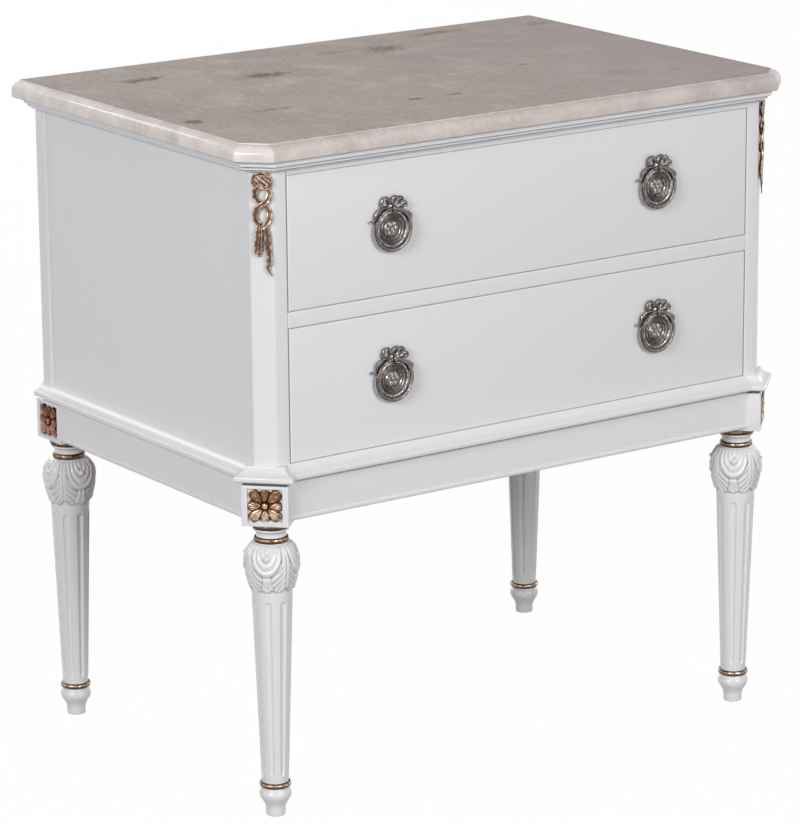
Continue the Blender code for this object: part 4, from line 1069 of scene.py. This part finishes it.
def ribbon_bands():
    """Paths, widths and thicknesses of the ribbon's strips in the plane of its post. Each strand
    of the eight swings sideways as a rounded sine and rises where it passes over the other; the
    tails spread below, and slanting folds wound in two loops make the knot."""
    bands = []
    phase = 2 * math.pi * np.linspace(0.0, 1.0, 80)
    swing = RIBBON_SWING * rounded(np.sin(phase), 0.75)
    fall = -np.interp(phase, (0.0, math.pi, 2 * math.pi), (KNOT_DROP, CROSS_DROP, JOIN_DROP))
    strand = RIBBON_BAND * (0.78 + 0.22 * np.abs(np.sin(phase)))
    for sign in (-1, 1):
        lift = -RIBBON_RISE + STRAND_LIFT * sign * np.cos(phase)
        bands.append((np.column_stack([sign * swing, lift, fall]), strand, STRAND_THICK))
    down = np.linspace(0.0, 1.0, 40)
    taper = (0.72 + 0.28 * step_up(down, 0.0, 0.3)) * (1.0 - 0.5 * step_up(down, 0.92, 1.0))
    for start, end, length, width, rise in RIBBON_TAILS:
        x = start + (end - start) * down**0.8
        y = -RIBBON_RISE - rise - TAIL_WAVE * np.sin(6.0 * down)
        path = np.column_stack([x, y, TAIL_TUCK - JOIN_DROP - length * down])
        bands.append((path, width * taper, TAIL_THICK))
    tip = flat_path(RIBBON_TIP, 16, 0.0)
    bands.append((tip, np.linspace(0.0046, 0.0012, 16), np.linspace(0.0026, 0.0012, 16)))
    for sign in (-1, 1):
        loop = flat_path(np.multiply(KNOT_LOOP, (sign, 1)), 36, LOOP_RISE)
        bands.append((loop, LOOP_WIDTH, LOOP_THICK))
    for fold, width in KNOT_FOLDS:
        bands.append((flat_path(fold, 22, FOLD_RISE), width, FOLD_THICK))
    return bands


ribbon_shapes = [band(*strip) for strip in ribbon_bands()]
ribbon_inset = POST_CANT / 2 + RIBBON_FORWARD / DIAGONAL
for side, sign in SIDES.items():
    place = (sign * (HALF_CASE - ribbon_inset), FRONT_Y + POST_CANT - ribbon_inset, RIBBON_TOP)
    patches = [(turned_to(grid, place, 45 * sign), True, False, mark) for grid, mark in ribbon_shapes]
    node = f"ribbon_{side}"
    fit_piece(f"gilt_{node}", patches, gilt, node, sharp=70.0)

# Drawers: an inset lacquered front with eased edges on a beech box of two sides and a back,
# its bottom held in grooves.
FRONT_EASE = 0.0013
FRONT_DROP = {"upper": 0.0005, "lower": 0.0008}
FRONT_LIFT = 0.0005
EASE_POINTS = 6


def drawer_front(low, high, ease):
    """A section of depth and height with rounded outer corners and a plain back, carried across
    the drawer; at both ends its outer side draws back along a quarter circle, which eases the
    upright edges too."""
    near_low = arc((low.y + ease, low.z + ease), ease, 270, 180, EASE_POINTS)
    near_high = arc((low.y + ease, high.z - ease), ease, 180, 90, EASE_POINTS)
    line = np.concatenate([near_low, near_high, [(high.y, high.z), (high.y, low.z)]])
    outer = np.repeat((1.0, 0.0), (2 * EASE_POINTS, 2))
    turn = np.linspace(0.0, math.pi / 2, EASE_POINTS)
    inset = ease * (1.0 - np.sin(turn))
    back = ease * (1.0 - np.cos(turn))
    across = np.concatenate([low.x + back, np.flip(high.x - back)])[:, None]
    draw = np.concatenate([inset, np.flip(inset)])[:, None]
    return gridded(across, np.minimum(line[:, 0] + draw * outer, high.y), line[:, 1])


for level in LEVELS:
    body = f"drawer_{level}"
    low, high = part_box(f"{body}_front")
    low.z -= FRONT_DROP[level]
    high.z += FRONT_LIFT
    front = (drawer_front(low, high, FRONT_EASE), True, True, 0.0)
    fit_piece(f"front_{level}", [front], lacquer, f"{body}_front", body)
    for side in SIDES:
        dress(f"{body}_side_{side}", beech_deep)
    for board in ("back", "bottom"):
        dress(f"{body}_{board}", beech_across)

# Ring pulls: silvered castings rubbed bright. A turned medallion with a flower in its middle
# under a ribbon bow, a ring hung in an eye behind the bow's knot, and a steel screw from inside.
# Heights and knots are in millimetres; the bow's bands give width at both ends and thickness.
SILVER_TONES = ((0.80, 0.77, 0.75, 1.0), (0.205, 0.180, 0.172, 1.0), (0.060, 0.050, 0.046, 1.0))
STEEL_COLOUR = (0.55, 0.55, 0.56, 1.0)
DISC_RADIUS = 0.0187
DISC_COLUMNS = 144
DISC_LINE = (
    (0.0, 0.3), (1.0, 0.3), (1.0, 4.0), (0.985, 4.9), (0.945, 5.3),
    (0.895, 5.0), (0.865, 4.0), (0.845, 2.9), (0.80, 2.7), (0.755, 3.0),
    (0.735, 4.1), (0.70, 4.6), (0.665, 4.1), (0.645, 2.9), (0.60, 2.5),
    (0.555, 2.8), (0.535, 4.2), (0.495, 4.9), (0.455, 4.2), (0.435, 2.9),
)
FLOWER_RADIUS = 0.43
FLOWER_ROWS = 26
FLOWER_GROUND = 0.0035
RING_RADIUS = 0.0210
RING_WIRE = 0.00205
RING_STAND_OFF = 0.0060
EYE_RADIUS = 0.0031
EYE_WALL = 0.0007
EYE_WIDTH = 0.0019
BOW_POINTS = 40
BOW_RISE = 0.0016
BOW_GROUND = (0.0003, 0.0016)
BOW_KNOTS = {
    "left_loop": ((0, 22.5), (-2.6, 26.6), (-5, 31), (-8.8, 32.4), (-12.2, 29), (-11, 23.4), (0, 21)),
    "middle_loop": ((0, 22.5), (-0.4, 27.4), (1.4, 31.6), (4.2, 32.4), (6, 29), (4.8, 25), (0.5, 22.5)),
    "right_loop": ((0, 22), (5, 26), (7.4, 30.2), (10.2, 31.2), (12, 28.4), (9.6, 24.6), (0, 21.8)),
    "side_loop": ((7, 22), (11, 25.6), (15.2, 26), (16.8, 23.2), (14.6, 20.2), (8, 20.6)),
    "left_curl": ((0, 20.4), (-8, 19.8), (-13, 20), (-17.6, 18), (-18.8, 14), (-15.6, 10.6), (-12.4, 12.4)),
    "right_curl": ((0, 20.4), (8, 18.4), (14, 16.4), (18.4, 14.2), (21.4, 11.4), (21, 8), (18.2, 7.2)),
    "left_leaf": ((-17.6, 11.4), (-20.4, 10.4), (-23.6, 9.8), (-27, 9.4)),
    "right_leaf": ((19.6, 12.6), (22, 12.2), (24.4, 12.8)),
    "cross_band": ((-4.2, 23), (-1.4, 21), (1, 17.8)),
}
BOW_BANDS = {
    "left_loop": (0.0034, 0.0034, 0.0036),
    "middle_loop": (0.0030, 0.0030, 0.0034),
    "right_loop": (0.0032, 0.0032, 0.0036),
    "side_loop": (0.0030, 0.0030, 0.0030),
    "left_curl": (0.0050, 0.0050, 0.0032),
    "right_curl": (0.0050, 0.0050, 0.0032),
    "left_leaf": (0.0056, 0.0018, 0.0024),
    "right_leaf": (0.0050, 0.0016, 0.0024),
    "cross_band": (0.0054, 0.0054, 0.0040),
}
silver = antiqued_metal("antique_silver", SILVER_TONES, 320.0, 0.16, 0.5)
steel, steel_tree, steel_shader, steel_place = finish_tree("zinc_steel")
steel_cloud = noise_value(steel_tree, steel_place, 500.0)
steel_sheen = ramp_value(steel_tree, steel_cloud, 0.3, 0.7, 0.28, 0.42)
feed(steel_tree, steel_shader, Base_Color=STEEL_COLOUR, Metallic=1.0, Roughness=steel_sheen)


def medallion_patch():
    """Grid of distance by angle, and its depth mark: a line of rims and sunk rings turned round
    the middle, with a six-leaf flower raised in the inmost ring."""
    rims = np.array(DISC_LINE)
    distance = np.append(rims[:, 0], np.linspace(FLOWER_RADIUS, 0.0, FLOWER_ROWS))[:, None]
    rim_height = np.append(rims[:, 1] * MM, np.full(FLOWER_ROWS, FLOWER_GROUND))[:, None]
    angle = full_turn(DISC_COLUMNS)[None, :]
    aside = (angle + math.pi / 6) % (math.pi / 3) - math.pi / 6
    petal = np.hypot(distance * np.cos(aside) - 0.27, distance * np.sin(aside)) / 0.145
    leaves = dome(petal) - 0.35 * bump(petal, 0.35)
    flower = np.maximum(np.maximum(leaves, 0.9 * dome(distance / 0.14)), 0.0)
    in_flower = distance < FLOWER_RADIUS + 0.0001
    height = np.where(in_flower, FLOWER_GROUND + 0.0010 * flower, rim_height)
    depth = np.maximum(0.50 - 420.0 * (height - 0.0028), -0.30)
    depth = np.where(in_flower, 0.40 - 0.80 * flower, depth)
    depth[:2] = 0.8
    reach = DISC_RADIUS * distance
    return gridded(reach * np.cos(angle), -height, reach * np.sin(angle)), depth


def bow_patches():
    """Strips of the bow in the plane of the plate: three upper loops and a side loop, two ribbons
    that curl at the sides, two leaf tails and a cross band, marked bright as a painted highlight.
    A thin ground fills each curl: its path drawn flat at the back and at the thickness, marked
    dark as patina and as the shade inside the curl."""
    patches = []
    for strip, knots in BOW_KNOTS.items():
        path = flat_path(knots, BOW_POINTS, BOW_RISE)
        first, last, thick = BOW_BANDS[strip]
        grid, depth = band(path, np.linspace(first, last, BOW_POINTS), thick, 14, 0.28)
        # The cross band's mark is lowered: a painted highlight.
        patches.append((grid, True, False, 0.95 * depth + 0.22 - 0.45 * (strip == "cross_band")))
        if strip.endswith("curl"):
            flat = path[:-1] * (1.0, 0.0, 1.0)
            ground = np.stack([flat - (0.0, level, 0.0) for level in BOW_GROUND])
            # Dark ground inside the curl: patina and painted shade.
            patches.append((ground, True, True, 0.9))
    return patches


def eye_patch():
    """The eye that holds the ring: an oval section carried round a small circle seen from the
    side, its middle on the ring's own line."""
    around = full_turn(28)[:, None]
    section = full_turn(12)[None, :]
    reach = EYE_RADIUS + EYE_WALL * np.cos(section)
    y = -RING_STAND_OFF + reach * np.cos(around)
    return closed(gridded(EYE_WIDTH * np.sin(section), y, RING_RADIUS + reach * np.sin(around)))


def pull_ring_patch():
    """A round wire carried round the ring's circle, and its depth mark: a little fuller at the
    bottom, with two small collars low on its sides. The mark paints shade down the ring's left side."""
    around = full_turn(120)[:, None]
    section = full_turn(14)[None, :]
    from_bottom = np.abs((around + math.pi) % (2 * math.pi) - math.pi)
    collars = bump(from_bottom - 0.86, 0.045) + bump(from_bottom - 0.98, 0.03)
    wire = RING_WIRE * (0.92 + 0.14 * bump(from_bottom, 0.7) + 0.22 * collars)
    reach = RING_RADIUS + wire * np.cos(section)
    y = -RING_STAND_OFF - wire * np.sin(section)
    # Painted shade on the ring's left side.
    shaded = step_up(-np.sin(around), -0.2, 0.6)
    depth = 0.60 - 0.6 * np.sin(section) - 0.4 * collars + 0.4 * shaded
    return closed(gridded(reach * np.sin(around), y, -reach * np.cos(around))), closed(depth)


medallion_grid, medallion_depth = medallion_patch()
plate = [(medallion_grid, True, False, medallion_depth), (eye_patch(), True, False, 0.3)]
plate += bow_patches()
ring_grid, ring_depth = pull_ring_patch()
for level in LEVELS:
    for side in SIDES:
        label = f"{level}_{side}"
        low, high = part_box(f"pull_screw_{label}")
        place = ((low.x + high.x) / 2, FRONT_Y, (low.z + high.z) / 2)
        cast = [(grid + place, looped, capped, depth) for grid, looped, capped, depth in plate]
        wire = [(ring_grid + place, True, False, ring_depth)]
        for name, body, patches in (("plate", "drawer_" + level, cast), ("ring", "ring_" + label, wire)):
            node = f"pull_{name}_{label}"
            fit_piece(f"{name}_{label}", patches, silver, node, body, 60.0)
        dress(f"pull_screw_{label}", steel)

# Stone top: one polished slab of warm grey limestone with fossil traces, laid on the case by its
# own weight. Its edge is a quarter round over a short upright face, with a fillet at the top.
# Fossils give centre and half size on the top, and strength.
STONE_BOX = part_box("stone_top")
STONE_LOW = STONE_BOX[0].z
STONE_HIGH = STONE_BOX[1].z
STONE_HALF = STONE_BOX[1].x
STONE_FRONT = STONE_BOX[0].y
STONE_BACK = STONE_BOX[1].y
STONE_CANT = 0.028
STONE_EASE = 0.0012
STONE_ARRIS = 0.0022
STONE_FILLET = 0.0014
STONE_OVOLO = 0.0098
STONE_OVOLO_DROP = 0.0102
STONE_STEP = 0.0005
STONE_SOFT = 0.0005
STONE_WARM = (0.536, 0.445, 0.396, 1.0)
STONE_GREY = (0.440, 0.374, 0.347, 1.0)
STONE_VEIN = (0.74, 0.68, 0.645, 1.0)
STONE_PIT = (0.39, 0.325, 0.285, 1.0)
STONE_FOSSIL = (0.13, 0.095, 0.070, 1.0)
STONE_HALO = (0.49, 0.385, 0.29, 1.0)
STONE_DEEP = (0.370, 0.292, 0.290, 1.0)
STONE_EDGE = (0.94, 0.88, 0.855, 1.0)
STONE_BED = (0.0, 0.0, math.radians(-9.0))
STONE_DRAWN = (1.0, 0.85, 1.0)
STONE_LAIN = (1.0, 1.3, 1.3)
FOSSIL_DEPTH = 0.02
FOSSILS = (
    ((-0.234, 0.152), (0.030, 0.011), 0.75),
    ((-0.117, 0.096), (0.034, 0.015), 0.60),
    ((0.078, 0.151), (0.032, 0.020), 1.00),
    ((0.182, 0.202), (0.040, 0.010), 0.85),
    ((0.306, 0.182), (0.016, 0.012), 0.45),
    ((-0.314, -0.076), (0.010, 0.012), 0.60),
    ((-0.218, -0.069), (0.028, 0.008), 0.28),
    ((-0.067, -0.110), (0.010, 0.006), 0.60),
    ((-0.019, -0.112), (0.011, 0.005), 0.50),
    ((0.138, -0.016), (0.007, 0.005), 0.55),
    ((0.196, -0.115), (0.024, 0.020), 0.22),
    ((0.250, -0.136), (0.012, 0.006), 0.40),
    ((0.016, 0.166), (0.026, 0.012), 0.25),
)


def stone_plan(inset):
    """The slab's outline drawn in by an inset from its front, sides and canted corners, with
    every corner slightly eased."""
    half = STONE_HALF - inset
    front = STONE_FRONT + inset
    cant = STONE_CANT - inset * (1.0 - MITRE)
    right = np.array([(half - cant, front), (half, front + cant), (half, STONE_BACK)])
    return eased(np.concatenate([right, right[::-1] * (-1, 1)]), STONE_EASE, 4)


def stone_line():
    """Inset and height up the slab's edge: a small arris, an upright face, a quarter round, a
    step, and a fillet with a softened top edge."""
    arris = arc((STONE_ARRIS, STONE_LOW + STONE_ARRIS), STONE_ARRIS, 270, 180, 7)
    fillet_low = STONE_HIGH - STONE_FILLET
    turn = np.linspace(0.0, math.pi / 2, 20)
    ovolo_level = fillet_low - STONE_OVOLO_DROP * (1.0 - np.sin(turn))
    ovolo = np.column_stack([STONE_OVOLO * (1.0 - np.cos(turn)), ovolo_level])
    step = STONE_OVOLO + STONE_STEP
    fillet = arc((step + STONE_SOFT, STONE_HIGH - STONE_SOFT), STONE_SOFT, 180, 90, 5)
    return np.concatenate([arris, ovolo, [(step, fillet_low)], fillet])


fossil_group, fossil_in, fossil_out = shader_group(
    "fossil_trace",
    {"Vector": "Vector", "Centre": "Vector", "Size": "Vector", "Warp": "Vector"},
    {"Halo": "Float", "Core": "Float"},
)
fossil_away = fossil_in["Vector"]
for operation, label in (("SUBTRACT", "Centre"), ("DIVIDE", "Size"), ("ADD", "Warp")):
    away_node = add_node(fossil_group, "VectorMath", fossil_away, fossil_in[label], operation=operation)
    fossil_away = away_node.outputs["Vector"]
fossil_far = add_node(fossil_group, "VectorMath", fossil_away, operation="LENGTH").outputs["Value"]
fossil_halo = ramp_value(fossil_group, fossil_far, 1.25, 0.35)
fossil_core = ramp_value(fossil_group, fossil_far, 1.10, 0.35)
feed(fossil_group, fossil_out, Halo=fossil_halo, Core=fossil_core)


def polished_limestone():
    """Warm grey stone: clouds, pale veins, flecks and pits over one another, then the fossils,
    deeper to the right, and paler where the moulded edge has been ground; along the front
    edge less pale, which paints shade on that face."""
    finish, tree, shader, place = finish_tree("polished_limestone")
    drawn, lain = [
        add_node(tree, "Mapping", Vector=place, Rotation=STONE_BED, Scale=stretch).outputs["Vector"]
        for stretch in (STONE_DRAWN, STONE_LAIN)
    ]
    cloud = ramp_value(tree, noise_value(tree, drawn, 9.0, 6.0, 0.6), 0.34, 0.66)
    patch = noise_value(tree, drawn, 26.0, 4.0, 0.6)
    streak = noise_value(tree, lain, 30.0, 5.0, 0.65)
    fleck = noise_value(tree, place, 150.0, 4.0, 0.7)
    dash = noise_value(tree, drawn, 130.0, 5.0, 0.65)
    colour = mix_colours(tree, cloud, STONE_GREY, STONE_WARM)
    for mark, low, high, share, tint in (
        (patch, 0.50, 0.72, 0.42, STONE_VEIN),
        (streak, 0.62, 0.72, 0.40, STONE_VEIN),
        (fleck, 0.52, 0.68, 0.52, STONE_VEIN),
        (fleck, 0.46, 0.30, 0.46, STONE_PIT),
        (dash, 0.36, 0.24, 0.75, STONE_PIT),
    ):
        colour = mix_colours(tree, ramp_value(tree, mark, low, high, 0.0, share), colour, tint)
    crumble = add_node(tree, "TexNoise", Vector=place, Scale=75.0, Detail=5.0, Roughness=0.7)
    spread = (crumble.outputs["Color"], (3.0, 3.0, 0.0), (-1.5, -1.5, 0.0))
    warp = add_node(tree, "VectorMath", *spread, operation="MULTIPLY_ADD").outputs["Vector"]
    grain = noise_value(tree, place, 170.0, 4.0, 0.7)
    for centre, size, strength in FOSSILS:
        fossil = add_node(tree, "Group", node_tree=fossil_group, Vector=place, Warp=warp)
        feed(tree, fossil, Centre=(*centre, STONE_HIGH), Size=(*size, FOSSIL_DEPTH))
        halo = worked_out(tree, "MULTIPLY", fossil.outputs["Halo"], min(1.0, 1.2 * strength))
        colour = mix_colours(tree, halo, colour, STONE_HALO)
        broken = ramp_value(tree, grain, 0.36, 0.52, 0.0, min(1.0, 1.6 * strength))
        core = worked_out(tree, "MULTIPLY", fossil.outputs["Core"], broken)
        colour = mix_colours(tree, core, colour, STONE_FOSSIL)
    at = add_node(tree, "SeparateXYZ", place).outputs
    far = ramp_value(tree, at["X"], -0.05, 0.30, 0.0, 0.50)
    on_edge = ramp_value(tree, at["Z"], STONE_HIGH - 0.00003, STONE_HIGH - 0.0002, 0.0, 0.95)
    # Painted shade: the ground edge is less pale along the front face than on the sides and back.
    in_front = ramp_value(tree, at["Y"], STONE_FRONT + 0.013, STONE_FRONT + 0.011, 1.0, 0.56)
    beside = ramp_value(tree, at["X"], 0.0285 - STONE_HALF, 0.0295 - STONE_HALF, 1.0, 0.0)
    mottle = ramp_value(tree, noise_value(tree, place, 28.0, 6.0, 0.65), 0.35, 0.65, 0.48, 1.0)
    facing = worked_out(tree, "MAXIMUM", in_front, beside)
    ground = worked_out(tree, "MULTIPLY", worked_out(tree, "MULTIPLY", on_edge, mottle), facing)
    colour = mix_colours(tree, far, colour, STONE_DEEP)
    colour = mix_colours(tree, ground, colour, STONE_EDGE)
    polish = ramp_value(tree, streak, 0.3, 0.8, 0.36, 0.46)
    coat = ramp_value(tree, on_edge, 0.0, 1.0, 0.0, 0.38)
    feed(tree, shader, Base_Color=colour, Roughness=polish, Coat_Weight=coat)
    feed(tree, shader, Specular_IOR_Level=0.03, Coat_Roughness=0.10)
    surface_bump(tree, shader, dash, 0.00006)
    return finish


stone = polished_limestone()
stone_rings = [raised(stone_plan(inset), level) for inset, level in stone_line()]
slab = [(np.stack(stone_rings), True, True, 0.0)]
fit_piece("polished_top", slab, stone, "stone_top", sharp=28.0)
